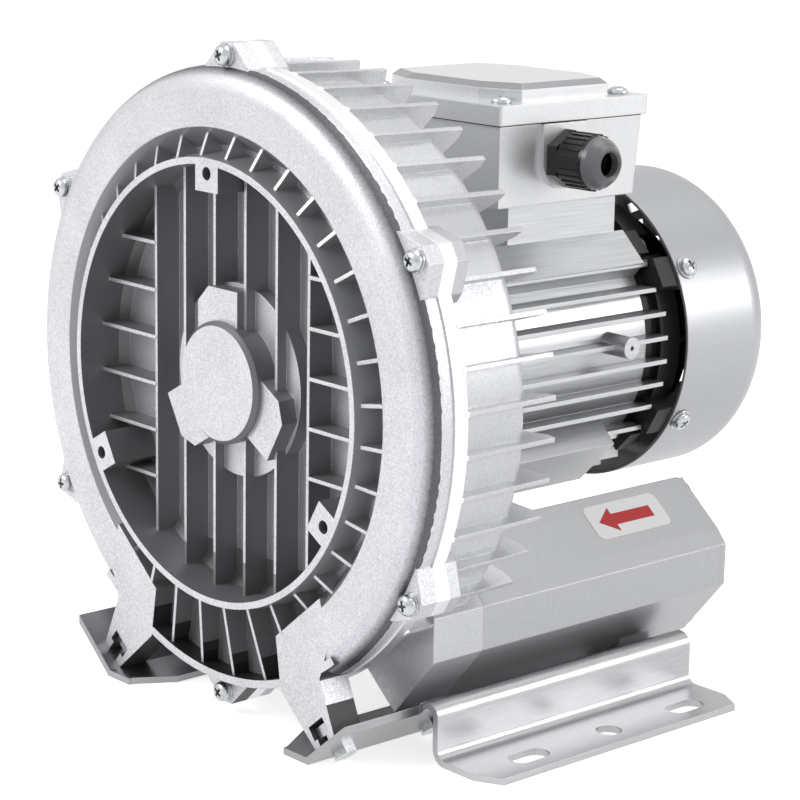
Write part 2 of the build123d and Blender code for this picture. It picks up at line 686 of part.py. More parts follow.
def rear_housing():
    """The die-cast rear housing: drum, half channel, fins, ducts and rear feet."""
    body = housing_shell()
    body += ears(JOINT_Y, JOINT_Y + HOUSING_EAR)
    fin = housing_fin()
    body += [about_shaft(FIN_FIRST + index * FIN_PITCH) * fin for index in range(FIN_COUNT)]
    duct = duct_block(JOINT_Y + DUCT_START, SILENCER_Y)
    duct -= turned_rod(TIP_RADIUS + 1.0, JOINT_Y, HOUSING_LAND)
    duct -= turned_rod(RIM_INNER + 2.0, HOUSING_LAND, WALL_BACK)
    leg = prism(leg_outline(), JOINT_Y + REAR_LEG_START, SILENCER_Y)
    leg -= turned_rod(DRUM_RADIUS - 1.0, JOINT_Y, DRUM_BACK)
    seat = prism(inset_outline(SILENCER_OUTLINE, -0.4), SILENCER_Y, DRUM_BACK + FIN_TIP_BACK + 1.0)
    body -= seat + mirrored(seat)
    body += duct + mirrored(duct) + leg + mirrored(leg)
    # The passage from the channel's end back into the silencer.
    bore = inset_outline(SILENCER_OUTLINE, SILENCER_WALL + 1.0)
    passage = prism(bore, HOUSING_LAND + 2.0, SILENCER_Y + 1.0)
    passage &= turned_rod(TIP_RADIUS, HOUSING_LAND, DRUM_BACK) + prism(bore, DRUM_BACK - 0.5, SILENCER_Y + 1.0)
    passage -= turned_rod(RIM_OUTER + 1.0, HOUSING_LAND, DRUM_BACK - 0.5)
    body -= passage + mirrored(passage)
    slot = tee_slot(JOINT_Y + REAR_LEG_START, SILENCER_Y)
    body -= slot + mirrored(slot)
    for angle in EAR_ANGLES:
        body -= rod(on_axis(angle, EAR_CIRCLE, JOINT_Y), (0, 1, 0), M5, HOUSING_EAR - 2.0)
    for angle in (45, 135, 225, 315):
        body -= rod(on_axis(angle, TIE_CIRCLE, WALL_BACK + 1.5), (0, 1, 0), M5, MOTOR_Y - WALL_BACK)
    return body


def shaft_seal():
    """The rubber lip seal behind the impeller."""
    lip = SEAL_SEAT + SHAFT_RUN
    back = SEAL_Y + SEAL_LENGTH
    outline = [(SEAL_RADIUS, SEAL_Y), (SEAL_RADIUS, back), (SEAL_RADIUS - 2.0, back), (SEAL_RADIUS - 2.5, SEAL_Y + 2.5)]
    outline += [(lip + 1.2, SEAL_Y + 5.0), (lip, SEAL_Y + 4.5), (lip + 1.0, SEAL_Y)]
    return turned(outline)


# ---- Rotor ------------------------------------------------------------------------------------------------
def impeller():
    """The double-sided bladed wheel."""
    middle = (IMPELLER_FRONT + IMPELLER_BACK) / 2
    disc_front = IMPELLER_HUB_FRONT + 1.0
    disc_back = disc_front + DISC_THICK
    outline = [
        (IMPELLER_SEAT, IMPELLER_HUB_FRONT),
        (IMPELLER_HUB_RADIUS, IMPELLER_HUB_FRONT),
        (IMPELLER_HUB_RADIUS, disc_front),
        (RIM_INNER, disc_front),
        (RIM_INNER, IMPELLER_FRONT),
        (RIM_OUTER, IMPELLER_FRONT),
        (RIM_OUTER + 1.0, middle - IMPELLER_WEB / 2),
        (TIP_RADIUS - RUNNING_GAP, middle - IMPELLER_WEB / 2),
        (TIP_RADIUS - RUNNING_GAP, middle + IMPELLER_WEB / 2),
        (RIM_OUTER + 1.0, middle + IMPELLER_WEB / 2),
        (RIM_OUTER, IMPELLER_BACK),
        (RIM_INNER, IMPELLER_BACK),
        (RIM_INNER, disc_back),
        (IMPELLER_HUB_RADIUS, disc_back + 2.0),
        (IMPELLER_HUB_RADIUS, IMPELLER_BACK),
        (IMPELLER_SEAT, IMPELLER_BACK),
    ]
    wheel = turned(outline)
    tip = sqrt((TIP_RADIUS - RUNNING_GAP) ** 2 - (BLADE_THICK / 2) ** 2)
    low = (RIM_OUTER - 1.0, IMPELLER_FRONT, -BLADE_THICK / 2)
    high = (tip, IMPELLER_BACK, BLADE_THICK / 2)
    blade = block(low, high)
    step = 360 / BLADE_COUNT
    wheel += [about_shaft(index * step) * blade for index in range(BLADE_COUNT)]
    return wheel - key_way(IMPELLER_HUB_FRONT - 1.0, IMPELLER_BACK + 1.0)


def key_bottom():
    """Radius of the floor of the shaft's key seat."""
    return IMPELLER_SEAT - KEY_HEIGHT * 0.6


def key_way(start, end):
    """The groove for the key in the impeller's bore."""
    low = (-KEY_WIDTH / 2, start, SHAFT_HEIGHT)
    high = (KEY_WIDTH / 2, end, SHAFT_HEIGHT + key_bottom() + KEY_HEIGHT + 0.1)
    return block(low, high)


def impeller_key():
    """The key between the shaft and the impeller."""
    start = (IMPELLER_HUB_FRONT + IMPELLER_BACK - KEY_LENGTH) / 2
    low = (-KEY_WIDTH / 2, start, SHAFT_HEIGHT + key_bottom())
    high = (KEY_WIDTH / 2, start + KEY_LENGTH, SHAFT_HEIGHT + key_bottom() + KEY_HEIGHT)
    return block(low, high)


def clip_y():
    """Front of the groove of the impeller's clip."""
    return IMPELLER_HUB_FRONT - CLIP_THICK


def shaft():
    """The stepped shaft."""
    core_back = STACK_Y + CORE_LENGTH + END_RING_LENGTH + 2.0
    fan_back = FAN_Y + FAN_WIDTH
    outline = [
        (0, FRONT_BEARING_Y),
        (BEARING_BORE - 0.8, FRONT_BEARING_Y),
        (BEARING_BORE, FRONT_BEARING_Y + 0.8),
        (BEARING_BORE, FRONT_BEARING_Y + BEARING_WIDTH),
        (IMPELLER_SEAT, FRONT_BEARING_Y + BEARING_WIDTH),
        (IMPELLER_SEAT, clip_y()),
        (IMPELLER_SEAT - CLIP_DEPTH, clip_y()),
        (IMPELLER_SEAT - CLIP_DEPTH, IMPELLER_HUB_FRONT),
        (IMPELLER_SEAT, IMPELLER_HUB_FRONT),
        (IMPELLER_SEAT, IMPELLER_BACK),
        (SEAL_SEAT, IMPELLER_BACK),
        (SEAL_SEAT, STACK_Y - END_RING_LENGTH - 2.0),
        (CORE_SEAT, STACK_Y - END_RING_LENGTH - 2.0),
        (CORE_SEAT, core_back),
        (SEAL_SEAT, core_back),
        (SEAL_SEAT, REAR_BEARING_Y),
        (BEARING_BORE, REAR_BEARING_Y),
        (BEARING_BORE, REAR_BEARING_Y + BEARING_WIDTH),
        (FAN_SEAT, REAR_BEARING_Y + BEARING_WIDTH),
        (FAN_SEAT, fan_back),
        (FAN_SEAT - CLIP_DEPTH, fan_back),
        (FAN_SEAT - CLIP_DEPTH, fan_back + CLIP_THICK),
        (FAN_SEAT, fan_back + CLIP_THICK),
        (FAN_SEAT, fan_back + 4.0),
        (0, fan_back + 4.0),
    ]
    start = (IMPELLER_HUB_FRONT + IMPELLER_BACK - KEY_LENGTH) / 2
    low = (-KEY_WIDTH / 2, start, SHAFT_HEIGHT + key_bottom())
    high = (KEY_WIDTH / 2, start + KEY_LENGTH, SHAFT_HEIGHT + IMPELLER_SEAT + 2.0)
    return turned(outline) - block(low, high)


def clip(seat, y):
    """An open spring ring in a groove of the shaft."""
    ring = turned_ring(seat - CLIP_DEPTH, seat + CLIP_REACH, y, y + CLIP_THICK)
    gap = block((-1.5, y - 1, SHAFT_HEIGHT - seat - 10), (1.5, y + 3, SHAFT_HEIGHT))
    return ring - gap


def rotor_core():
    """The stack of rotor sheets."""
    return turned_ring(CORE_SEAT, STATOR_BORE - AIR_GAP, STACK_Y, STACK_Y + CORE_LENGTH)


def rotor_end_rings():
    """The cast rings at both ends of the rotor stack."""
    outer = STATOR_BORE - AIR_GAP - 1.0
    front = turned_ring(CORE_SEAT + 4.0, outer, STACK_Y - END_RING_LENGTH, STACK_Y)
    back_start = STACK_Y + CORE_LENGTH
    back = turned_ring(CORE_SEAT + 4.0, outer, back_start, back_start + END_RING_LENGTH)
    return [front, back]


def bearing_groove(y):
    """The room that the balls run in."""
    middle = y + BEARING_WIDTH / 2
    return Pos(0, middle, SHAFT_HEIGHT) * Rot(90, 0, 0) * Torus(BALL_CIRCLE, BALL_RADIUS + BEARING_RUN)


def bearing_inner(y):
    """Inner ring of a ball bearing."""
    ring = turned_ring(BEARING_BORE, BALL_CIRCLE - BALL_RADIUS * 0.75, y, y + BEARING_WIDTH)
    return ring - bearing_groove(y)


def bearing_outer(y):
    """Outer ring of a ball bearing."""
    ring = turned_ring(BALL_CIRCLE + BALL_RADIUS * 0.75, BEARING_OUTER, y, y + BEARING_WIDTH)
    return ring - bearing_groove(y)


def ball_place(index, y):
    """Centre of one ball."""
    return on_axis((index + 0.5) * 360 / BALL_COUNT, BALL_CIRCLE, y + BEARING_WIDTH / 2)


def bearing_balls(y):
    """The balls of a bearing."""
    return [Pos(*ball_place(index, y)) * Sphere(BALL_RADIUS) for index in range(BALL_COUNT)]


def bearing_cage(y):
    """The cage that keeps the balls apart."""
    middle = y + BEARING_WIDTH / 2
    half = BALL_RADIUS + 0.9
    cage = turned_ring(BALL_CIRCLE - CAGE_WALL / 2, BALL_CIRCLE + CAGE_WALL / 2, middle - half, middle + half)
    pocket = rod((0, middle, 0), (1, 0, 0), BALL_RADIUS + 0.1, BEARING_OUTER)
    step = 360 / BALL_COUNT
    cage -= [about_shaft((index + 0.5) * step) * pocket for index in range(BALL_COUNT)]
    return cage


def cooling_fan():
    """The plastic fan at the rear."""
    back = FAN_Y + FAN_WIDTH
    hub = turned_ring(FAN_SEAT, FAN_HUB, FAN_Y, back)
    disc = turned_ring(FAN_HUB - 1.0, FAN_RADIUS - 8.0, FAN_Y + 2.0, FAN_Y + 4.0)
    fan = hub + disc
    blade = block((FAN_HUB - 1.0, FAN_Y + 2.0, -1.0), (FAN_RADIUS, back, 1.0))
    step = 360 / FAN_BLADES
    return fan + [about_shaft(index * step) * blade for index in range(FAN_BLADES)]


# ---- Motor ------------------------------------------------------------------------------------------------
def stator_core():
    """The stack of stator sheets with its slots."""
    core = turned_ring(STATOR_BORE, STATOR_OUTER, STACK_Y, STACK_Y + CORE_LENGTH)
    return core - slot_bars()


def slot_bars():
    """The straight runs of the windings through the stator's slots."""
    low = (WINDING_INNER + 1.5, STACK_Y - 1.0, -2.2)
    high = (WINDING_OUTER - 4.0, STACK_Y + CORE_LENGTH + 1.0, 2.2)
    bar = block(low, high)
    return [about_shaft(index * 20) * bar for index in range(18)]


def stator_windings():
    """The copper coils: straight runs and the bundles at both ends."""
    back = STACK_Y + CORE_LENGTH
    front_ring = turned_ring(WINDING_INNER, WINDING_OUTER, STACK_Y - WINDING_HANG, STACK_Y)
    back_ring = turned_ring(WINDING_INNER, WINDING_OUTER, back, back + WINDING_HANG)
    front_ring = fillet(front_ring.edges().group_by(Axis.Y)[0], 3.0)
    back_ring = fillet(back_ring.edges().group_by(Axis.Y)[-1], 3.0)
    return front_ring + back_ring + slot_bars()


def motor_frame():
    """The finned aluminium frame with its pads and the neck of the terminal box."""
    body = turned_rod(BARREL_RADIUS, MOTOR_Y, BARREL_BACK)
    collar = turned_rod(TIE_CIRCLE + 5.5, MOTOR_Y, MOTOR_Y + 6.0)
    body += collar
    fin_back = BARREL_BACK + MOTOR_FIN_OVERHANG
    for index in range(-4, 4):
        height = (index + 0.5) * MOTOR_FIN_PITCH
        reach = sqrt(MOTOR_FIN_RADIUS**2 - height**2)
        low = (-reach, MOTOR_Y + 3.0, height - MOTOR_FIN_THICK / 2 + SHAFT_HEIGHT)
        high = (reach, fin_back, height + MOTOR_FIN_THICK / 2 + SHAFT_HEIGHT)
        body += block(low, high)
        low = (height - MOTOR_FIN_THICK / 2, MOTOR_Y + 3.0, SHAFT_HEIGHT - reach)
        high = (height + MOTOR_FIN_THICK / 2, fin_back, SHAFT_HEIGHT)
        body += block(low, high)
    for angle in (-45, -135):
        low = (BARREL_RADIUS - 6.0, MOTOR_Y + 3.0, -PAD_WIDTH / 2)
        high = (PAD_RADIUS - 1.5, MOTOR_Y + PAD_LENGTH, PAD_WIDTH / 2)
        body += about_shaft(angle) * block(low, high)
    shoulder = prism([(x, z + SHAFT_HEIGHT) for x, z in SHOULDER], MOTOR_Y, BARREL_BACK)
    body += shoulder + mirrored(shoulder)
    neck_front = MOTOR_Y + NECK_START
    low = (-NECK_HALF, neck_front, SHAFT_HEIGHT)
    high = (NECK_HALF, neck_front + NECK_LENGTH, SHAFT_HEIGHT + NECK_TOP)
    body += block(low, high)
    boss = on_axis(0, 0, MOTOR_Y + FRAME_BOSS_Y)
    boss_z = SHAFT_HEIGHT + MOTOR_FIN_PITCH / 2
    body += rod((BARREL_RADIUS - 3.0, boss[1], boss_z), (1, 0, 0), FRAME_BOSS, FRAME_BOSS_X - BARREL_RADIUS + 3.0)
    body -= turned_rod(STATOR_OUTER, MOTOR_Y - 1.0, BARREL_BACK + MOTOR_FIN_OVERHANG + 1.0)
    body -= turned_rod(BARREL_RADIUS + 0.3, BARREL_BACK, BARREL_BACK + MOTOR_FIN_OVERHANG + 1.0)
    for angle in (45, 135, 225, 315):
        low = (BARREL_RADIUS - 6.0, BARREL_BACK, -6.5)
        body -= about_shaft(angle) * block(low, (70.0, BARREL_BACK + MOTOR_FIN_OVERHANG + 1.0, 6.5))
    for angle in SHIELD_LUG_ANGLES:
        low = (BARREL_RADIUS - 6.0, SHIELD_BACK - SHIELD_WALL - 0.6, -SHIELD_LUG_WIDTH / 2 - 0.8)
        high = (70.0, BARREL_BACK + MOTOR_FIN_OVERHANG + 1.0, SHIELD_LUG_WIDTH / 2 + 0.8)
        body -= about_shaft(angle) * block(low, high)
    low = (-NECK_HALF + 8.0, neck_front + 8.0, SHAFT_HEIGHT + STATOR_OUTER - 8.0)
    high = (NECK_HALF - 8.0, neck_front + NECK_LENGTH - 8.0, SHAFT_HEIGHT + NECK_TOP + 1.0)
    body -= block(low, high)
    body -= rod((FRAME_BOSS_X + 1.0, boss[1], boss_z), (-1, 0, 0), FRAME_BOSS_HOLE, 8.0)
    for angle in (45, 135, 225, 315):
        body -= rod(on_axis(angle, TIE_CIRCLE, MOTOR_Y - 1), (0, 1, 0), M5 + SEAT_GAP, BARREL_LENGTH + 2)
    for x, y in neck_screw_places():
        body -= rod((x, y, SHAFT_HEIGHT + NECK_TOP), (0, 0, -1), M4, 8.0)
    return body


def neck_screw_places():
    """The four screws that hold the terminal box on its neck."""
    front = MOTOR_Y + NECK_START
    ys = (front + 4.0, front + NECK_LENGTH - 4.0)
    return [(x, y) for x in (-BOX_SCREW_X, BOX_SCREW_X) for y in ys]


def rear_end_shield():
    """The rear bearing shield with its lugs for the cowl."""
    rim = turned_ring(STATOR_OUTER - 4.0, BARREL_RADIUS, BARREL_BACK, SHIELD_BACK)
    wall = turned_ring(BEARING_OUTER, BARREL_RADIUS - 1.0, SHIELD_BACK - SHIELD_WALL, SHIELD_BACK)
    boss = turned_ring(BEARING_OUTER, BEARING_OUTER + 4.5, REAR_BEARING_Y, SHIELD_BACK)
    body = rim + wall + boss
    lug_back = COWL_Y + COWL_SCREW_BACK + 5.0
    for angle in SHIELD_LUG_ANGLES:
        reach = COWL_RADIUS - COWL_WALL
        low = (reach - SHIELD_LUG_WALL, SHIELD_BACK - SHIELD_WALL, -SHIELD_LUG_WIDTH / 2)
        high = (reach + 2.0, lug_back, SHIELD_LUG_WIDTH / 2)
        lug = about_shaft(angle) * block(low, high)
        web = about_shaft(angle) * block(
            (BARREL_RADIUS - 6.0, SHIELD_BACK - SHIELD_WALL, -SHIELD_LUG_WIDTH / 2),
            (reach, SHIELD_BACK + 2.0, SHIELD_LUG_WIDTH / 2),
        )
        body += (lug & turned_rod(reach, SHIELD_BACK - 10, lug_back + 5)) + web
    collar_front = BARREL_BACK + MOTOR_FIN_OVERHANG + 0.5
    body += turned_ring(SHIELD_COLLAR - SHIELD_COLLAR_WALL, SHIELD_COLLAR, collar_front, COWL_Y + SHIELD_COLLAR_REACH)
    for angle in (45, 135, 225, 315):
        low = (BARREL_RADIUS - 5.0, BARREL_BACK + 0.6, -5.5)
        high = (TIE_CIRCLE + 5.0, SHIELD_BACK, 5.5)
        body += about_shaft(angle) * block(low, high)
        body -= rod(on_axis(angle, TIE_CIRCLE, SHIELD_BACK), (0, 1, 0), M5_HEAD + 0.6, 12.0)
        body -= rod(on_axis(angle, TIE_CIRCLE, BARREL_BACK), (0, 1, 0), M5 + SEAT_GAP, 12.0)
    for angle in SHIELD_LUG_ANGLES:
        start = on_axis(angle, COWL_RADIUS + 1.0, COWL_Y + COWL_SCREW_BACK)
        body -= rod(start, (-cos(radians(angle)), 0, -sin(radians(angle))), M4, 9.0)
    return body


def shield_screws():
    """Four long screws that pull the end shield and the frame to the housing."""
    length = SHIELD_BACK - WALL_BACK - 1.5
    return [
        pan_screw(on_axis(angle, TIE_CIRCLE, SHIELD_BACK), (0, -1, 0), M5, length, M5_HEAD, M5_HEAD_HIGH)
        for angle in (45, 135, 225, 315)
    ]


def fan_cowl():
    """The drawn sheet cowl with its air slots."""
    edge = COWL_EDGE
    outer_line = Line((COWL_RADIUS, COWL_Y), (COWL_RADIUS, COWL_BACK - edge))
    outer_arc = CenterArc((COWL_RADIUS - edge, COWL_BACK - edge), edge, 0, 90)
    inner_radius = COWL_RADIUS - COWL_WALL
    rear = Polyline((COWL_RADIUS - edge, COWL_BACK), (0, COWL_BACK), (0, COWL_BACK - COWL_WALL), (COWL_RADIUS - edge, COWL_BACK - COWL_WALL))
    inner_arc = CenterArc((COWL_RADIUS - edge, COWL_BACK - edge), edge - COWL_WALL, 0, 90)
    inner_line = Polyline((inner_radius, COWL_BACK - edge), (inner_radius, COWL_Y), (COWL_RADIUS, COWL_Y))
    edges = [outer_line, outer_arc] + list(rear.edges()) + [inner_arc] + list(inner_line.edges())
    cowl = Pos(0, 0, SHAFT_HEIGHT) * revolve(make_face(Wire(edges)), axis=Axis.Y)
    for ring, radius in enumerate(GRILLE_RINGS):
        count = 4 if ring < 2 else 6
        band = turned_ring(radius - GRILLE_SLOT / 2, radius + GRILLE_SLOT / 2, COWL_BACK - 3, COWL_BACK + 1)
        bar = block((-COWL_RADIUS, COWL_BACK - 4, -2.5), (COWL_RADIUS, COWL_BACK + 2, 2.5))
        for index in range(count // 2):
            band -= about_shaft(ring * 15 + index * 360 / count) * bar
        cowl -= band
    for angle in SHIELD_LUG_ANGLES:
        start = on_axis(angle, COWL_RADIUS + 1.0, COWL_Y + COWL_SCREW_BACK)
        cowl -= rod(start, (-cos(radians(angle)), 0, -sin(radians(angle))), M4 + SEAT_GAP, 5.0)
    return cowl


def cowl_screws():
    """The four screws of the cowl."""
    pieces = []
    for angle in SHIELD_LUG_ANGLES:
        start = on_axis(angle, COWL_RADIUS + 0.05, COWL_Y + COWL_SCREW_BACK)
        inward = (-cos(radians(angle)), 0, -sin(radians(angle)))
        pieces.append(pan_screw(start, inward, M4, 6.5, M4_HEAD, M4_HEAD_HIGH))
    return pieces


# ---- Terminal box -------------------------------------------------------------------------------------------
def tapered_box(half, start, length, low, high, draft):
    """A box whose sides lean in towards its floor."""
    middle = start + length / 2
    top = Plane(origin=(0, middle, high)) * Rectangle(2 * half, length)
    bottom = Plane(origin=(0, middle, low)) * Rectangle(2 * (half - draft), length - 2 * draft)
    return loft([bottom, top])


def gland_pad():
    """The raised pad that the gland sits on, round at its foot and open to the rim."""
    x = BOX_HALF - BOX_DRAFT - 1.0
    reach = BOX_HALF + GLAND_PAD
    disc = rod((x, GLAND_CENTRE_Y, GLAND_Z), (1, 0, 0), GLAND_PAD_RADIUS, reach - x)
    low = (x, GLAND_CENTRE_Y - GLAND_PAD_RADIUS, GLAND_Z)
    high = (reach, GLAND_CENTRE_Y + GLAND_PAD_RADIUS, BOX_TOP)
    return disc + block(low, high)


def terminal_box():
    """The cast terminal box."""
    floor = SHAFT_HEIGHT + NECK_TOP
    body = tapered_box(BOX_HALF, BOX_Y, BOX_LENGTH, floor, BOX_TOP, BOX_DRAFT) + gland_pad()
    hollow = tapered_box(
        BOX_HALF - BOX_WALL, BOX_Y + BOX_WALL, BOX_LENGTH - 2 * BOX_WALL, floor + BOX_WALL, BOX_TOP + 1.0, BOX_DRAFT
    )
    for x, y in lid_screw_places():
        hollow -= rod((x, y, floor), (0, 0, 1), 5.5, BOX_HEIGHT + 2.0)
    body -= hollow
    body -= rod((BOX_HALF - 12.0, GLAND_CENTRE_Y, GLAND_Z), (1, 0, 0), GLAND_THREAD, 20.0)
    neck_front = MOTOR_Y + NECK_START
    low = (-NECK_HALF + 20.0, neck_front + 30.0, floor - 1.0)
    high = (NECK_HALF - 20.0, neck_front + NECK_LENGTH - 9.0, floor + BOX_WALL + 1.0)
    body -= block(low, high)
    for x, y in neck_screw_places():
        body -= rod((x, y, floor - 1.0), (0, 0, 1), M4 + SEAT_GAP, BOX_WALL + 2.0)
    for x, y in lid_screw_places():
        body -= rod((x, y, BOX_TOP), (0, 0, -1), M4, 14.0)
    return body


def box_screws():
    """The four screws inside the box that hold it on its neck."""
    top = SHAFT_HEIGHT + NECK_TOP + BOX_WALL
    return [
        pan_screw((x, y, top), (0, 0, -1), M4, BOX_WALL + 7.0, M4_HEAD, M4_HEAD_HIGH)
        for x, y in neck_screw_places()
    ]


def lid_screw_places():
    """The four corners where the lid is screwed down."""
    inset = LID_SCREW_INSET
    xs = (-BOX_HALF + inset, BOX_HALF - inset)
    ys = (BOX_Y + inset, BOX_Y + BOX_LENGTH - inset)
    return [(x, y) for x in xs for y in ys]


def box_gasket():
    """The flat gasket under the lid."""
    low = (-BOX_HALF, BOX_Y, BOX_TOP)
    high = (BOX_HALF, BOX_Y + BOX_LENGTH, BOX_TOP + GASKET_THICK)
    inner_low = (-BOX_HALF + BOX_WALL, BOX_Y + BOX_WALL, BOX_TOP - 1)
    inner_high = (BOX_HALF - BOX_WALL, BOX_Y + BOX_LENGTH - BOX_WALL, BOX_TOP + 3)
    hollow = block(inner_low, inner_high)
    for x, y in lid_screw_places():
        hollow -= rod((x, y, BOX_TOP - 2), (0, 0, 1), 5.5, 8.0)
    gasket = block(low, high) - hollow
    for x, y in lid_screw_places():
        gasket -= rod((x, y, BOX_TOP - 1), (0, 0, 1), M4 + SEAT_GAP, 5.0)
    return gasket


def raised_outline(inset):
    """The lid's raised field: a rectangle with its corners cut off for the screws."""
    half = BOX_HALF + LID_OVERHANG - LID_RAISED_INSET_X - inset
    start = BOX_Y - LID_OVERHANG + LID_RAISED_INSET_Y + inset
    end = BOX_Y + BOX_LENGTH + LID_OVERHANG - LID_RAISED_INSET_Y - inset
    corner = LID_RAISED_CORNER
    side = [(half, start + corner * 0.44), (half, end - corner * 0.44), (half - corner, end)]
    side += [(-x, y) for x, y in reversed(side)]
    return side + [(-half + corner, start), (half - corner, start)]


def box_lid():
    """The cast lid with its raised field."""
    start = BOX_Y - LID_OVERHANG
    end = BOX_Y + BOX_LENGTH + LID_OVERHANG
    half = BOX_HALF + LID_OVERHANG
    low = (-half, start, BOX_TOP + GASKET_THICK)
    lid = block(low, (half, end, LID_TOP))
    lid = fillet(lid.edges().filter_by(Axis.Z), 1.5)
    wall_top = LID_TOP + LID_RAISED - LID_RAISED_BEVEL
    field = make_face(Polyline(*[Vector(x, y, LID_TOP - 0.5) for x, y in raised_outline(0.0)], close=True))
    lid += extrude(field, amount=wall_top - LID_TOP + 0.5)
    lower = make_face(Polyline(*[Vector(x, y, wall_top) for x, y in raised_outline(0.0)], close=True))
    upper = make_face(
        Polyline(*[Vector(x, y, LID_TOP + LID_RAISED) for x, y in raised_outline(LID_RAISED_BEVEL)], close=True)
    )
    lid += loft([lower, upper])
    inset = BOX_WALL + LID_OVERHANG + 8.0
    low = (-half + inset, start + inset, BOX_TOP)
    high = (half - inset, end - inset, LID_TOP)
    lid -= block(low, high)
    for x, y in lid_screw_places():
        lid -= rod((x, y, BOX_TOP), (0, 0, 1), M4 + SEAT_GAP, 12.0)
    return lid


def lid_screws():
    """The four screws of the lid."""
    return [
        pan_screw((x, y, LID_TOP), (0, 0, -1), M4, LID_THICK + GASKET_THICK + 10.0, M4_HEAD, M4_HEAD_HIGH)
        for x, y in lid_screw_places()
    ]


def board_place():
    """Middle of the terminal board on the floor of the box."""
    return (0, BOX_Y + 22.0, SHAFT_HEIGHT + NECK_TOP + BOX_WALL)


def stud_places():
    """The six studs of the terminal board, as (x, y)."""
    middle = board_place()
    return [
        (middle[0] + column * STUD_PITCH, middle[1] + row * STUD_PITCH / 2)
        for column in (-1, 0, 1)
        for row in (-1, 1)
    ]


def terminal_board():
    """The moulded board that carries the terminals."""
    middle = board_place()
    board = Pos(middle[0], middle[1], middle[2] + BOARD_SIZE[2] / 2) * Box(*BOARD_SIZE)
    board = fillet(board.edges().filter_by(Axis.Z), 2.0)
    for x, y in stud_places():
        board -= rod((x, y, middle[2] + BOARD_SIZE[2]), (0, 0, -1), STUD_RADIUS, BOARD_SIZE[2] - 2.0)
    return board


def terminal_studs():
    """Six brass studs, each with its nut."""
    base = board_place()[2] + BOARD_SIZE[2]
    pieces = []
    for x, y in stud_places():
        stud = rod((x, y, base - 5.0), (0, 0, 1), STUD_RADIUS, STUD_HEIGHT + 5.0)
        nut = Pos(x, y, base) * extrude(RegularPolygon(STUD_RADIUS * 2.0, 6), amount=2.5)
        pieces.append(stud + nut)
    return pieces


# ---- Cable gland --------------------------------------------------------------------------------------------
def along_x(outline):
    """A body turned about the gland's axis from (radius, x) points."""
    face = make_face(Polyline(*[Vector(x, radius, 0) for radius, x in outline], close=True))
    return Pos(0, GLAND_CENTRE_Y, GLAND_Z) * revolve(face, axis=Axis.X)


def hex_along_x(flats, start, end):
    """A hexagonal bar on the gland's axis."""
    plane = Plane(origin=(start, GLAND_CENTRE_Y, GLAND_Z), x_dir=(0, 0, 1), z_dir=(1, 0, 0))
    return extrude(plane * RegularPolygon(flats / sqrt(3), 6), amount=end - start)


def gland_seat():
    """Outer face of the pad that the gland stands on."""
    return BOX_HALF + GLAND_PAD


def gland_body():
    """The threaded body of the gland with its hexagon."""
    seat = gland_seat()
    inside = BOX_HALF - BOX_WALL - LOCKNUT_THICK - 3.0
    body = hex_along_x(GLAND_HEX, seat, seat + GLAND_HEX_THICK)
    body += along_x([(0, inside), (GLAND_THREAD, inside), (GLAND_THREAD, seat + 1), (0, seat + 1)])
    body += along_x(
        [(0, seat + 2), (GLAND_THREAD, seat + 2), (GLAND_THREAD, seat + GLAND_HEX_THICK + 8.0), (0, seat + GLAND_HEX_THICK + 8.0)]
    )
    bore = CABLE_RADIUS + 1.4
    end = seat + GLAND_HEX_THICK + 9.0
    return body - along_x([(0, inside - 1), (bore, inside - 1), (bore, end), (0, end)])


def gland_cap():
    """The ribbed domed nut of the gland."""
    start = gland_seat() + GLAND_HEX_THICK + 0.4
    end = start + GLAND_CAP_LENGTH
    radius = GLAND_CAP_RADIUS
    shell = along_x(
        [
            (GLAND_THREAD, start),
            (radius, start),
            (radius, start + 11.0),
            (radius - 0.8, start + 14.0),
            (radius - 2.3, end - 2.2),
            (radius - 4.0, end - 0.5),
            (CABLE_RADIUS + 0.8, end),
            (CABLE_RADIUS, end - 0.8),
            (CABLE_RADIUS, end - 4.0),
            (GLAND_THREAD, end - 8.0),
        ]
    )
    rib = block((start + 0.6, -0.5, radius - 0.6), (start + 11.0, 0.5, radius + 0.5))
    place = Pos(0, GLAND_CENTRE_Y, GLAND_Z)
    step = 360 / GLAND_RIBS
    return shell + [place * Rot(index * step, 0, 0) * rib for index in range(GLAND_RIBS)]


def gland_seal():
    """The rubber ring that grips the cable."""
    start = gland_seat() + GLAND_HEX_THICK + 8.0
    end = gland_seat() + GLAND_HEX_THICK + 0.4 + GLAND_CAP_LENGTH - 8.0
    outer = GLAND_THREAD - 0.2
    return along_x([(CABLE_RADIUS, start), (outer, start), (outer, end), (CABLE_RADIUS, end)])


def gland_locknut():
    """The nut that holds the gland inside the box."""
    seat = BOX_HALF - BOX_WALL - BOX_DRAFT
    nut = hex_along_x(GLAND_HEX + 2.0, seat - LOCKNUT_THICK, seat)
    return nut - along_x([(0, seat - 9), (GLAND_THREAD, seat - 9), (GLAND_THREAD, seat + 2), (0, seat + 2)])


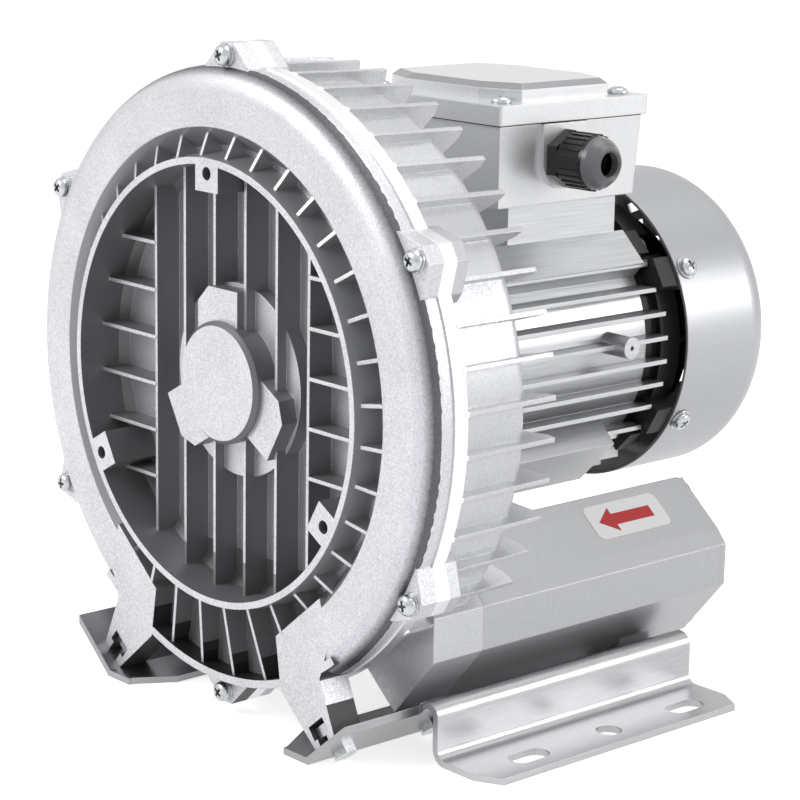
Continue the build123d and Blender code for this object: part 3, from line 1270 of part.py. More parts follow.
# ---- Silencers ------------------------------------------------------------------------------------------------
def silencer():
    """One silencer tube with its foot, on +X."""
    bolt = BOLT_STATIONS[-1]
    half = SILENCER_PAD_LENGTH / 2
    tube = prism(SILENCER_OUTLINE, SILENCER_Y, SILENCER_BACK - PLATE_THICK)
    tube += prism(silencer_pad(), bolt - half, bolt + half)
    hollow = prism(inset_outline(SILENCER_OUTLINE, SILENCER_WALL), SILENCER_Y - 1, SILENCER_BACK)
    posts = []
    for x, z in PLATE_SCREWS:
        posts.append(rod((x, SILENCER_BACK - PLATE_THICK - 14.0, z), (0, 1, 0), 4.5, 16.0))
    for post in posts:
        hollow -= post
    tube -= hollow
    for x, z in PLATE_SCREWS:
        tube -= rod((x, SILENCER_BACK - PLATE_THICK, z), (0, -1, 0), M4, 10.0)
    tube -= slot_frame(bolt) * Cylinder(M5, 9.0, align=(Align.CENTER, Align.CENTER, Align.MIN))
    return tube


def silencer_foam():
    """The foam lining of one silencer, on +X."""
    start = SILENCER_Y + 6.0
    end = SILENCER_BACK - PLATE_THICK - 18.0
    outer = prism(inset_outline(SILENCER_OUTLINE, SILENCER_WALL + FOAM_GAP), start, end)
    inner = inset_outline(SILENCER_OUTLINE, SILENCER_WALL + FOAM_GAP + FOAM_THICK)
    return outer - prism(inner, start - 1, end + 1)


def port_plate():
    """The end plate with the threaded port, on +X."""
    x, z = PORT_CENTRE
    plate = prism(inset_outline(SILENCER_OUTLINE, 0.4), SILENCER_BACK - PLATE_THICK, SILENCER_BACK)
    plate += rod((x, SILENCER_BACK - PORT_DEPTH, z), (0, 1, 0), PORT_THREAD + PORT_RIM, PORT_DEPTH)
    plate -= rod((x, SILENCER_BACK - PORT_DEPTH - 1, z), (0, 1, 0), PORT_THREAD, PORT_DEPTH + 2)
    for px, pz in PLATE_SCREWS:
        plate -= rod((px, SILENCER_BACK - PLATE_THICK - 1, pz), (0, 1, 0), M4 + SEAT_GAP, PLATE_THICK + 2)
    return plate


def port_screws():
    """The four screws of one end plate, on +X."""
    return [
        pan_screw((x, SILENCER_BACK, z), (0, -1, 0), M4, PLATE_THICK + 9.0, M4_HEAD, M4_HEAD_HIGH)
        for x, z in PLATE_SCREWS
    ]


# ---- Feet ---------------------------------------------------------------------------------------------------
def bracket_section():
    """The bent sheet's section as one closed face in XZ, on +X."""
    angle = radians(INCLINE)
    out = (sin(angle), -cos(angle))
    bend_x = FOOT_WALL_X - RIDGE_BEND
    start = (INCLINE_START, 0.0)
    # Centre of the ridge bend: RIDGE_BEND below the incline's upper side.
    bend_z = incline_top(bend_x) - RIDGE_BEND / cos(angle)
    top = (bend_x - sin(angle) * RIDGE_BEND, bend_z + cos(angle) * RIDGE_BEND)
    under = RIDGE_BEND - SHEET
    low = (bend_x - sin(angle) * under, bend_z + cos(angle) * under)
    foot_x = FOOT_WALL_X + FOOT_BEND - SHEET
    foot_z = FOOT_BEND
    upper_start = INCLINE_START - (SHEET_UP - SHEET) / INCLINE_RISE
    plane = Plane.XZ
    points_up = [(FOOT_INNER_REACH, 0), (FOOT_INNER_REACH, SHEET), (upper_start, SHEET), top]
    edges = [Line(points_up[i], points_up[i + 1]) for i in range(3)]
    edges.append(CenterArc((bend_x, bend_z), RIDGE_BEND, 0, 90 + INCLINE))
    edges.append(Line((FOOT_WALL_X, bend_z), (FOOT_WALL_X, foot_z)))
    edges.append(CenterArc((foot_x, foot_z), FOOT_BEND - SHEET, 180, 90))
    edges.append(Line((foot_x, SHEET), (FOOT_REACH, SHEET)))
    edges.append(Line((FOOT_REACH, SHEET), (FOOT_REACH, 0)))
    edges.append(Line((FOOT_REACH, 0), (foot_x, 0)))
    edges.append(CenterArc((foot_x, foot_z), FOOT_BEND, 180, 90))
    edges.append(Line((FOOT_WALL_X - SHEET, foot_z), (FOOT_WALL_X - SHEET, bend_z)))
    edges.append(CenterArc((bend_x, bend_z), under, 0, 90 + INCLINE))
    edges.append(Line(low, start))
    edges.append(Line(start, (FOOT_INNER_REACH, 0)))
    return plane * make_face(Wire(edges))


def foot_bracket():
    """One bent steel bracket, on +X."""
    length = FOOT_REAR - FOOT_FRONT
    body = Pos(0, FOOT_FRONT, 0) * extrude(bracket_section(), amount=length, dir=(0, 1, 0))
    low = (FOOT_STRIP_REACH, FOOT_FRONT - 1, -1)
    body -= block(low, (FOOT_REACH + 5, FOOT_STEP, 60))
    corner = FOOT_CORNER
    for y, sign in ((FOOT_STEP, 1), (FOOT_REAR, -1)):
        cut = [(FOOT_REACH + 1, y - sign), (FOOT_REACH - corner * 2, y - sign), (FOOT_REACH + 1, y + sign * corner)]
        face = make_face(Polyline(*[Vector(x, yy, -1) for x, yy in cut], close=True))
        body -= extrude(face, amount=SHEET + 3, dir=(0, 0, 1))
    chamfer_cut = [(FOOT_INNER_REACH - 1, FOOT_FRONT - 1), (47.0, FOOT_FRONT - 1), (47.0, FOOT_FRONT + 1.5)]
    chamfer_cut += [(FOOT_INNER_REACH - 1, FOOT_FRONT + 18.0)]
    face = make_face(Polyline(*[Vector(x, yy, -1) for x, yy in chamfer_cut], close=True))
    body -= extrude(face, amount=SHEET + 3, dir=(0, 0, 1))
    body -= rod((FOOT_HOLE_X, 0, -1), (0, 0, 1), FOOT_HOLE_RADIUS, SHEET + 2)
    for side in (-1, 1):
        slot = Pos(FOOT_HOLE_X, side * FOOT_SLOT_SPACING / 2, -1) * Rot(0, 0, 90) * SlotOverall(
            FOOT_SLOT_LENGTH, FOOT_SLOT_WIDTH
        )
        body -= extrude(slot, amount=SHEET + 2, dir=(0, 0, 1))
    for y in BOLT_STATIONS:
        hole = slot_frame(y) * Pos(0, 0, -SHEET / 2) * Cylinder(M5 + SEAT_GAP, SHEET + 2)
        body -= hole
    return body


def foot_bolts():
    """The hexagon bolts through one bracket, on +X."""
    pieces = []
    for index, y in enumerate(BOLT_STATIONS):
        frame = slot_frame(y)
        head = frame * Pos(0, 0, -SHEET - BOLT_HEAD_HIGH) * extrude(
            RegularPolygon(BOLT_HEX / sqrt(3), 6, rotation=30), amount=BOLT_HEAD_HIGH
        )
        reach = TEE_LIP + TEE_NUT_THICK if index < len(BOLT_STATIONS) - 1 else 8.5
        shank = frame * Pos(0, 0, -SHEET) * Cylinder(M5, SHEET + reach, align=(Align.CENTER, Align.CENTER, Align.MIN))
        pieces.append(head + shank)
    return pieces


def tee_nuts():
    """The square nuts in the T-slots of one side, on +X."""
    pieces = []
    for y in BOLT_STATIONS[:-1]:
        frame = slot_frame(y)
        nut = frame * Pos(0, 0, TEE_LIP + TEE_NUT_THICK / 2) * Box(TEE_NUT, TEE_NUT, TEE_NUT_THICK)
        bore = frame * Cylinder(M5, TEE_LIP + TEE_NUT_THICK + 1, align=(Align.CENTER, Align.CENTER, Align.MIN))
        pieces.append(nut - bore)
    return pieces


# ---- Writing --------------------------------------------------------------------------------------------------
def both_sides(pieces):
    """The bodies of one side and their mirror images."""
    return list(pieces) + [mirrored(piece) for piece in pieces]


def nodes():
    """Every sub-part by name."""
    inlet = silencer()
    foam = silencer_foam()
    plate = port_plate()
    screws = port_screws()
    bracket = foot_bracket()
    front, rear = FRONT_BEARING_Y, REAR_BEARING_Y
    return {
        "front_cover": front_cover(),
        "cover_screws": cover_screws(),
        "rear_housing": rear_housing(),
        "shaft_seal": shaft_seal(),
        "impeller": impeller(),
        "impeller_key": impeller_key(),
        "impeller_clip": clip(IMPELLER_SEAT, clip_y()),
        "shaft": shaft(),
        "rotor_core": rotor_core(),
        "rotor_end_rings": rotor_end_rings(),
        "front_bearing_inner_ring": bearing_inner(front),
        "front_bearing_outer_ring": bearing_outer(front),
        "front_bearing_balls": bearing_balls(front),
        "front_bearing_cage": bearing_cage(front),
        "rear_bearing_inner_ring": bearing_inner(rear),
        "rear_bearing_outer_ring": bearing_outer(rear),
        "rear_bearing_balls": bearing_balls(rear),
        "rear_bearing_cage": bearing_cage(rear),
        "cooling_fan": cooling_fan(),
        "fan_clip": clip(FAN_SEAT, FAN_Y + FAN_WIDTH),
        "stator_core": stator_core(),
        "stator_windings": stator_windings(),
        "motor_frame": motor_frame(),
        "rear_end_shield": rear_end_shield(),
        "shield_screws": shield_screws(),
        "fan_cowl": fan_cowl(),
        "cowl_screws": cowl_screws(),
        "terminal_box": terminal_box(),
        "box_screws": box_screws(),
        "box_gasket": box_gasket(),
        "box_lid": box_lid(),
        "lid_screws": lid_screws(),
        "terminal_board": terminal_board(),
        "terminal_studs": terminal_studs(),
        "gland_body": gland_body(),
        "gland_cap": gland_cap(),
        "gland_seal": gland_seal(),
        "gland_locknut": gland_locknut(),
        "inlet_silencer": inlet,
        "outlet_silencer": mirrored(inlet),
        "inlet_foam": foam,
        "outlet_foam": mirrored(foam),
        "inlet_port_plate": plate,
        "outlet_port_plate": mirrored(plate),
        "inlet_port_screws": screws,
        "outlet_port_screws": [mirrored(screw) for screw in screws],
        "right_foot_bracket": bracket,
        "left_foot_bracket": mirrored(bracket),
        "foot_bolts": both_sides(foot_bolts()),
        "tee_nuts": both_sides(tee_nuts()),
    }


def solid_group(shape):
    """The solids of a sub-part as one compound."""
    pieces = shape if isinstance(shape, (list, tuple)) else [shape]
    solids = [solid for piece in pieces for solid in piece.solids()]
    return solids[0] if len(solids) == 1 else Compound(children=solids)


os.makedirs("parts", exist_ok=True)
for name, shape in nodes().items():
    export_step(solid_group(shape), f"parts/{name}.step")
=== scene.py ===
"""Looks of a side channel blower: cast aluminium covers, finned motor, silencers and bent steel feet."""
from math import cos, pi, radians, sin

import bmesh
import bpy
from mathutils import Matrix, Vector


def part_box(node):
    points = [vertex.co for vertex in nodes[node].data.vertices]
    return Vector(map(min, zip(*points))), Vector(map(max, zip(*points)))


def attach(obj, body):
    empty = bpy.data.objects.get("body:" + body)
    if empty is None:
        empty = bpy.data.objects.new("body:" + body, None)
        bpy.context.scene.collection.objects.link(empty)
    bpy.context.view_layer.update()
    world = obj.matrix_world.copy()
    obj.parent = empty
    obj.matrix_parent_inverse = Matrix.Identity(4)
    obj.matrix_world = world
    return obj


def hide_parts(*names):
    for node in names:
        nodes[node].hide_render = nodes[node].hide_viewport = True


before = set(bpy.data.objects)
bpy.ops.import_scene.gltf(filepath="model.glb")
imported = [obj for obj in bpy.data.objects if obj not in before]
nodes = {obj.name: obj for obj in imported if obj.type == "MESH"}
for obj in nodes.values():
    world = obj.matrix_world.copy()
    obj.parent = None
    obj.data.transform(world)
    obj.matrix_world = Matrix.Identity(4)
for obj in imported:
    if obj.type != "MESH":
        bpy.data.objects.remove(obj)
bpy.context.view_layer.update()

# ---- Front cover --------------------------------------------------------------------------------
# The front cover is one aluminium die casting: half of the side channel, the ribbed cooling bowl
# with the bearing hub, and both front legs. It is left as blasted, so it is pale and grainy.


def linear(hex_colour):
    """An sRGB hex colour as linear red, green, blue and alpha."""
    parts = [int(hex_colour[place : place + 2], 16) / 255 for place in (1, 3, 5)]
    return [part / 12.92 if part <= 0.04045 else ((part + 0.055) / 1.055) ** 2.4 for part in parts] + [1.0]


def per_metre(millimetres):
    """A texture scale whose features are about this many millimetres across."""
    return 1000 / millimetres


def add(tree, kind, settings=None, inputs=None):
    """Adds a shader node, sets its properties, and sets or links its inputs."""
    node = tree.nodes.new("ShaderNode" + kind)
    for name, value in (settings or {}).items():
        setattr(node, name, value)
    for name, value in (inputs or {}).items():
        if isinstance(value, bpy.types.NodeSocket):
            tree.links.new(value, node.inputs[name])
        else:
            node.inputs[name].default_value = value
    return node


def new_finish(name):
    """An empty material with its node tree and its Principled shader."""
    material = bpy.data.materials.new(name)
    material.use_nodes = True
    tree = material.node_tree
    return material, tree, tree.nodes["Principled BSDF"]


def colour_between(tree, shader, amount, first, second):
    """Colours a finish from the first to the second colour as amount goes from 0 to 1."""
    colour = add(tree, "Mix", {"data_type": "RGBA"}, {0: amount, 6: linear(first), 7: linear(second)})
    tree.links.new(colour.outputs[2], shader.inputs["Base Color"])


def dress(material, *names):
    """Gives a finish to solids of the frame."""
    for name in names:
        slots = nodes[name].data.materials
        slots.clear()
        slots.append(material)
        for polygon in nodes[name].data.polygons:
            polygon.material_index = 0


def rounded_relief(tree, shader, height, strength, deep_mm, edge_mm):
    """Rounds a finish's edges to a radius and raises its texture by a depth, both in millimetres."""
    edges = add(tree, "Bevel", {"samples": 4}, {"Radius": edge_mm / 1000})
    relief = add(
        tree,
        "Bump",
        inputs={"Height": height, "Strength": strength, "Distance": deep_mm / 1000, "Normal": edges.outputs[0]},
    )
    tree.links.new(relief.outputs[0], shader.inputs["Normal"])


def cast_aluminium(name, dark, pale, grain_mm, relief_mm, rough, metal=0.85, edge_mm=0.5):
    """Die-cast aluminium: grains that sparkle, a soft cloudy tone and edges rounded by tumbling."""
    material, tree, shader = new_finish(name)
    place = add(tree, "TexCoord").outputs["Object"]
    cloud = add(tree, "TexNoise", inputs={"Vector": place, "Scale": per_metre(22), "Detail": 4.0})
    grain = add(
        tree, "TexNoise", inputs={"Vector": place, "Scale": per_metre(grain_mm), "Detail": 3.0, "Roughness": 0.65}
    )
    mix = add(tree, "Math", {"operation": "MULTIPLY_ADD"}, {0: cloud.outputs["Fac"], 1: 0.35})
    tree.links.new(grain.outputs["Fac"], mix.inputs[2])
    tone = add(tree, "MapRange", inputs={"Value": mix.outputs[0], "From Min": 0.45, "From Max": 0.9})
    colour_between(tree, shader, tone.outputs[0], dark, pale)
    gloss = add(tree, "MapRange", inputs={"Value": grain.outputs["Fac"], "From Min": 0.3, "From Max": 0.7})
    gloss.inputs["To Min"].default_value = rough + 0.12
    gloss.inputs["To Max"].default_value = rough - 0.1
    shader.inputs["Metallic"].default_value = metal
    tree.links.new(gloss.outputs[0], shader.inputs["Roughness"])
    rounded_relief(tree, shader, grain.outputs["Fac"], 0.6, relief_mm, edge_mm)
    return material


def tone_over(material, amount, tone, blend="MIX"):
    """Lays a tone over a finish's colour where amount is 1. The tone is linear, or a socket."""
    tree = material.node_tree
    colour = tree.nodes["Principled BSDF"].inputs["Base Color"]
    inputs = {0: amount, 6: colour.links[0].from_socket, 7: tone}
    mix = add(tree, "Mix", {"data_type": "RGBA", "blend_type": blend}, inputs)
    tree.links.new(mix.outputs[2], colour)


def cover_over(material, amount, colour, rough, relief, metal):
    """Where amount is 1, lays a smoother finish of one colour and gloss over a grainy one."""
    tree = material.node_tree
    shader = tree.nodes["Principled BSDF"]
    tone_over(material, amount, linear(colour))
    strength = shader.inputs["Normal"].links[0].from_node.inputs["Strength"]
    for socket, value in ((shader.inputs["Metallic"], metal), (shader.inputs["Roughness"], rough), (strength, relief)):
        under = socket.links[0].from_socket if socket.is_linked else socket.default_value
        mix = add(tree, "Mix", {"data_type": "FLOAT"}, {0: amount, 2: under, 3: value})
        tree.links.new(mix.outputs[0], socket)


def along(tree, axis):
    """Where a point of the surface lies along one of the object's axes, in metres."""
    place = add(tree, "TexCoord").outputs["Object"]
    return add(tree, "SeparateXYZ", inputs={0: place}).outputs[axis]


def facing(tree, axis, normal="True Normal"):
    """How far the surface faces along one axis, from -1 to 1."""
    return add(tree, "SeparateXYZ", inputs={0: add(tree, "NewGeometry").outputs[normal]}).outputs[axis]


def from_shaft(tree):
    """How far a point of the surface is from the shaft's axis, in metres."""
    place = add(tree, "TexCoord").outputs["Object"]
    flat = add(tree, "VectorMath", {"operation": "MULTIPLY_ADD"}, {0: place, 1: (1, 0, 1), 2: (0, 0, -SHAFT_Z)})
    return add(tree, "VectorMath", {"operation": "LENGTH"}, {0: flat.outputs[0]}).outputs["Value"]


def zone(tree, *limits):
    """1 where every value lies between its two limits, each given as (value, low, high), and else 0."""
    amount = 1.0
    for value, low, high in limits:
        middle, half = (low + high) / 2, (high - low) / 2
        inside = add(tree, "Math", {"operation": "COMPARE"}, {0: value, 1: middle, 2: half})
        amount = add(tree, "Math", {"operation": "MULTIPLY"}, {0: amount, 1: inside.outputs[0]}).outputs[0]
    return amount


SHAFT_Z = 0.1255
BOWL_RADIUS = 0.0795
TROUGH_RADIUS = 0.0918
SECTOR_RADIUS = 0.1085
SECTOR_TOP_Z = SHAFT_Z - 0.066
BETWEEN_LEGS = 0.052
FRONT_EDGE_Y = -0.092
SLOT_TOP_Z = 0.022
SHOULDER_INNER = 0.1
SHOULDER_OUTER = 0.1132
SHOULDER_FROM = -0.96938
SHADE_FROM = -0.815
SHADE_FULL = -0.474
FRONT_FACING = -0.8
FAR = 1.0
# Blasting grain is typically about 0.2 mm. It is drawn at 0.75 mm, so that the sparkle shows.
cover_cast = cast_aluminium("blasted_cast_aluminium", "#BFC0C4", "#E4E4E8", 0.75, 0.16, 0.44, 0.7, 0.45)
tree = cover_cast.node_tree
reach = from_shaft(tree)
not_front = (facing(tree, "Y"), FRONT_FACING, FAR + 0.1)
bowl = zone(tree, not_front, (reach, -FAR, BOWL_RADIUS))
trough = zone(tree, not_front, (reach, -FAR, TROUGH_RADIUS))
slot = zone(tree, not_front, (along(tree, "Z"), -FAR, SLOT_TOP_Z))
inner_faces = {0: zone(tree, not_front), 1: zone(tree, (along(tree, "Y"), FRONT_EDGE_Y, FAR))}
inner_faces = add(tree, "Math", {"operation": "MAXIMUM"}, inner_faces).outputs[0]
sector = zone(
    tree,
    (inner_faces, 0.5, 1.5),
    (along(tree, "Z"), -FAR, SECTOR_TOP_Z),
    (along(tree, "X"), -BETWEEN_LEGS, BETWEEN_LEGS),
    (reach, -FAR, SECTOR_RADIUS),
)
# Inside the trough, the open sector, the bowl and the slots of the legs, the casting is smoother and
# darker: partly its own as-cast tone and partly painted shade, darkest in the slots. The edges that
# face forwards keep the pale blasted grain.
cover_over(cover_cast, trough, "#A2A3A5", 0.34, 0.05, 0.35)
cover_over(cover_cast, sector, "#8C8D8F", 0.36, 0.05, 0.3)
cover_over(cover_cast, bowl, "#7B7C7E", 0.42, 0.05, 0.15)
cover_over(cover_cast, slot, "#4A4B4D", 0.5, 0.1, 0.1)
# Painted highlight and painted shade: the rounded shoulder goes from bright to grey as it turns away from the front.
turned = facing(tree, "Y", "Normal")
shoulder = zone(tree, (reach, SHOULDER_INNER, SHOULDER_OUTER), (turned, SHOULDER_FROM, FAR + 0.1))
shade = add(tree, "MapRange", inputs={"Value": turned, "From Min": SHADE_FROM, "From Max": SHADE_FULL})
shade = {0: shade.outputs[0], 6: linear("#FAFAFC"), 7: linear("#77787B")}
shoulder_tone = add(tree, "Mix", {"data_type": "RGBA"}, shade).outputs[2]
tone_over(cover_cast, shoulder, shoulder_tone, "MULTIPLY")
dress(cover_cast, "front_cover")

# ---- Rear housing -------------------------------------------------------------------------------
# The rear housing is the matching die casting, with lengthwise fins, the ducts to both silencers
# and the rear feet. It is smoother than the cover, satin and even. Its flange is turned bright.
FLANGE_BACK_Y = -0.0795
FLANGE_INNER = 0.1105
housing_cast = cast_aluminium("satin_cast_aluminium", "#C2C3C6", "#D6D7DA", 0.9, 0.04, 0.36, 0.5)
tree = housing_cast.node_tree
flange = zone(tree, (along(tree, "Y"), -FAR, FLANGE_BACK_Y), (from_shaft(tree), FLANGE_INNER, FAR))
cover_over(housing_cast, flange, "#F2F2F4", 0.3, 0.05, 0.85)
dress(housing_cast, "rear_housing")

# ---- Motor frame --------------------------------------------------------------------------------
# The motor frame is a finned aluminium extrusion, left bright. Fine drawing lines run along the
# shaft.
FIN_ROOT = 0.05
FIN_TIP = 0.062
FINS_FROM_X = 0.045
FINS_TOP_Z = 0.172
FIN_SIDE_FACING = 0.95
# Drawing lines are typically about 0.1 mm apart. They are drawn at 0.8 mm, so that the streaks show.
frame_extruded, tree, shader = new_finish("pickled_extruded_aluminium")
place = add(tree, "TexCoord").outputs["Object"]
stretched = add(tree, "Mapping", inputs={"Vector": place, "Scale": (1.0, 0.03, 1.0)})
lines = add(tree, "TexNoise", inputs={"Vector": stretched.outputs[0], "Scale": per_metre(0.8), "Detail": 3.0})
colour_between(tree, shader, lines.outputs["Fac"], "#B4B6B8", "#DEDFE1")
gloss = add(tree, "MapRange", inputs={"Value": lines.outputs["Fac"], "To Min": 0.24, "To Max": 0.42})
shader.inputs["Metallic"].default_value = 0.6
tree.links.new(gloss.outputs[0], shader.inputs["Roughness"])
rounded_relief(tree, shader, lines.outputs["Fac"], 0.35, 0.1, 0.4)
# Painted shade: the sides of the fins are darker at the root and pale at the tip.
steep = add(tree, "Math", {"operation": "ABSOLUTE"}, {0: facing(tree, "Z")}).outputs[0]
beside = add(tree, "Math", {"operation": "ABSOLUTE"}, {0: along(tree, "X")}).outputs[0]
fin_side = zone(
    tree, (steep, FIN_SIDE_FACING, FAR + 0.1), (beside, FINS_FROM_X, FAR), (along(tree, "Z"), -FAR, FINS_TOP_Z)
)
depth = add(tree, "MapRange", inputs={"Value": from_shaft(tree), "From Min": FIN_ROOT, "From Max": FIN_TIP})
fin_tone = {0: depth.outputs[0], 6: linear("#5E5F61"), 7: linear("#C9CACC")}
fin_tone = add(tree, "Mix", {"data_type": "RGBA"}, fin_tone).outputs[2]
tone_over(frame_extruded, fin_side, fin_tone)
dress(frame_extruded, "motor_frame")

# ---- Rear end shield ----------------------------------------------------------------------------
# The rear end shield is an aluminium casting, coloured near black all over as painted shade for the
# dark gap in front of the cowl. It closes the back of the motor frame and holds the rear bearing.
shield_paint, tree, shader = new_finish("cast_aluminium_in_black_painted_shade")
place = add(tree, "TexCoord").outputs["Object"]
grain = add(tree, "TexNoise", inputs={"Vector": place, "Scale": per_metre(1.2), "Detail": 3.0})
colour_between(tree, shader, grain.outputs["Fac"], "#101011", "#1C1C1E")
shader.inputs["Roughness"].default_value = 0.5
rounded_relief(tree, shader, grain.outputs["Fac"], 0.4, 0.08, 0.5)
dress(shield_paint, "rear_end_shield")

# ---- Fan cowl -----------------------------------------------------------------------------------
# The fan cowl is a deep-drawn steel pot in smooth silver paint. The fine aluminium flake in the
# paint gives a broad soft sheen with a very slight sparkle and no visible texture.


def silver_paint(name, dark, pale, flake_mm, rough, orange_peel_mm, relief_mm, metal):
    """Silver paint: metal flake under a soft surface with a light orange peel."""
    material, tree, shader = new_finish(name)
    place = add(tree, "TexCoord").outputs["Object"]
    flake = add(tree, "TexNoise", inputs={"Vector": place, "Scale": per_metre(flake_mm), "Detail": 2.0})
    peel = add(tree, "TexNoise", inputs={"Vector": place, "Scale": per_metre(orange_peel_mm), "Detail": 3.0})
    colour_between(tree, shader, flake.outputs["Fac"], dark, pale)
    shader.inputs["Metallic"].default_value = metal
    shader.inputs["Roughness"].default_value = rough
    rounded_relief(tree, shader, peel.outputs["Fac"], 0.5, relief_mm, 0.6)
    return material


# Paint flake is typically about 0.05 mm. It is drawn at 0.7 mm, so that the slight sparkle shows.
cowl_paint = silver_paint("smooth_silver_paint", "#ACADB0", "#B8B9BC", 0.7, 0.38, 2.5, 0.01, 0.75)
dress(cowl_paint, "fan_cowl")

# ---- Terminal box -------------------------------------------------------------------------------
# The terminal box and its lid are die-cast and sprayed pale silver. Painted shade tones the lid's
# sloping bevel a little darker. A thin black rubber gasket lies between.
box_paint = silver_paint("sprayed_cast_silver", "#D2D3D5", "#E2E3E4", 1.1, 0.34, 1.4, 0.05, 0.55)
# Painted shade: faces that slope upwards, such as the lid's bevel, are darker.
bevel = zone(box_paint.node_tree, (facing(box_paint.node_tree, "Z"), 0.3, 0.9))
tone_over(box_paint, bevel, linear("#A2A3A5"))
dress(box_paint, "terminal_box", "box_lid")


def moulded(name, dark, pale, rough, relief_mm):
    """Moulded plastic or rubber with the faint texture of its tool."""
    material, tree, shader = new_finish(name)
    place = add(tree, "TexCoord").outputs["Object"]
    skin = add(tree, "TexNoise", inputs={"Vector": place, "Scale": per_metre(0.7), "Detail": 3.0})
    colour_between(tree, shader, skin.outputs["Fac"], dark, pale)
    shader.inputs["Roughness"].default_value = rough
    rounded_relief(tree, shader, skin.outputs["Fac"], 0.4, relief_mm, 0.3)
    return material


rubber = moulded("black_nitrile_rubber", "#141415", "#1E1E1F", 0.6, 0.05)
dress(rubber, "box_gasket", "gland_seal", "shaft_seal")

# ---- Terminal board -----------------------------------------------------------------------------
# The terminal board inside the box is a dark phenolic moulding, screwed to the box's floor. It
# carries six bright brass studs.
phenolic = moulded("dark_phenolic_resin", "#2A2420", "#352E28", 0.5, 0.03)
dress(phenolic, "terminal_board")


def plain_metal(name, dark, pale, rough_low, rough_high, stretch):
    """Bare or plated metal whose tone and gloss vary a little along its working marks."""
    material, tree, shader = new_finish(name)
    place = add(tree, "TexCoord").outputs["Object"]
    marks = add(tree, "Mapping", inputs={"Vector": place, "Scale": stretch})
    wear = add(tree, "TexNoise", inputs={"Vector": marks.outputs[0], "Scale": per_metre(1.0), "Detail": 3.0})
    colour_between(tree, shader, wear.outputs["Fac"], dark, pale)
    gloss = add(tree, "MapRange", inputs={"Value": wear.outputs["Fac"]})
    gloss.inputs["To Min"].default_value = rough_low
    gloss.inputs["To Max"].default_value = rough_high
    shader.inputs["Metallic"].default_value = 1.0
    tree.links.new(gloss.outputs[0], shader.inputs["Roughness"])
    return material


brass = plain_metal("bright_brass", "#C49A45", "#DDB768", 0.2, 0.35, (1, 1, 1))
dress(brass, "terminal_studs")

# ---- Cable gland --------------------------------------------------------------------------------
# The cable gland is glass-filled nylon, nearly black and fairly glossy. Its cap has grip ribs
# round it and a smooth domed nose, toned greyer as a painted reflection.
nylon = moulded("black_nylon", "#151517", "#232326", 0.26, 0.02)
NOSE_LENGTH = 0.0062
cap_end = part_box("gland_cap")[1][0]
nose = zone(nylon.node_tree, (along(nylon.node_tree, "X"), cap_end - NOSE_LENGTH, FAR))
tone_over(nylon, nose, linear("#77787B"))
dress(nylon, "gland_body", "gland_cap", "gland_locknut")

# ---- Cross-recess screws ------------------------------------------------------------------------
# All visible screws are zinc-plated pan heads with a cross recess, each on its own washer where it
# holds a casting's ear. The plating is bright and slightly blue.
zinc = plain_metal("bright_zinc_plate", "#9DA0A3", "#DADCDE", 0.18, 0.36, (1, 1, 1))


def turn(shell, profile, steps, place):
    """Adds a body turned about Z from (radius, height) points in millimetres, at a place."""
    rings = []
    for radius, height in profile:
        count = steps if radius > 0 else 1
        ring = []
        for step in range(count):
            angle = 2 * pi * step / steps
            point = Vector((radius * cos(angle), radius * sin(angle), height)) / 1000
            ring.append(shell.verts.new(place @ point))
        rings.append(ring)
    for lower, upper in zip(rings, rings[1:]):
        for step in range(steps):
            after = (step + 1) % steps
            corners = [lower[step % len(lower)], lower[after % len(lower)]]
            corners += [upper[after % len(upper)], upper[step % len(upper)]]
            corners = list(dict.fromkeys(corners))
            if len(corners) > 2:
                shell.faces.new(corners)


def standing(point, direction):
    """The place whose Z axis points along a direction from a point."""
    return Matrix.Translation(point) @ Vector(direction).to_track_quat("Z", "Y").to_matrix().to_4x4()


def finish_mesh(name, shell, material):
    """Turns built geometry into an object with smooth faces and sharp edges."""
    bmesh.ops.recalc_face_normals(shell, faces=shell.faces)
    mesh = bpy.data.meshes.new(name)
    shell.to_mesh(mesh)
    shell.free()
    piece = bpy.data.objects.new(name, mesh)
    bpy.context.collection.objects.link(piece)
    mesh.materials.append(material)
    mesh.polygons.foreach_set("use_smooth", [True] * len(mesh.polygons))
    mesh.set_sharp_from_angle(angle=radians(35))
    return piece


def pan_head(radius, height, shank, length):
    """A pan-head screw's mesh with its cross recess; its seat is at Z 0 and its shank goes down."""
    shell = bmesh.new()
    dome = [(0, -length), (shank * 0.8, -length), (shank, -length + 0.6), (shank, 0), (radius * 0.97, 0)]
    dome += [(radius, height * 0.12), (radius, height * 0.35), (radius * 0.93, height * 0.62)]
    dome += [(radius * 0.78, height * 0.84), (radius * 0.5, height * 0.97), (0, height)]
    turn(shell, dome, 32, Matrix())
    head = finish_mesh("head", shell, zinc)
    cutter = bmesh.new()
    for quarter in (0, pi / 2):
        box = bmesh.ops.create_cube(cutter, size=1.0)["verts"]
        size = Matrix.Diagonal((radius * 1.3 / 1000, radius * 0.36 / 1000, height * 1.3 / 1000, 1))
        place = Matrix.Translation((0, 0, height * 1.05 / 1000)) @ Matrix.Rotation(quarter, 4, "Z") @ size
        bmesh.ops.transform(cutter, matrix=place, verts=box)
        for corner in box:
            if corner.co.z < height * 0.7 / 1000:
                corner.co.x *= 0.6
                corner.co.y *= 0.6
    mesh = bpy.data.meshes.new("cross")
    cutter.to_mesh(mesh)
    cutter.free()
    cross = bpy.data.objects.new("cross", mesh)
    bpy.context.collection.objects.link(cross)
    cut = head.modifiers.new("recess", "BOOLEAN")
    cut.object = cross
    cut.solver = "EXACT"
    cut.use_self = True
    depsgraph = bpy.context.evaluated_depsgraph_get()
    result = bpy.data.meshes.new_from_object(head.evaluated_get(depsgraph))
    for piece in (head, cross):
        bpy.data.objects.remove(piece)
    return result


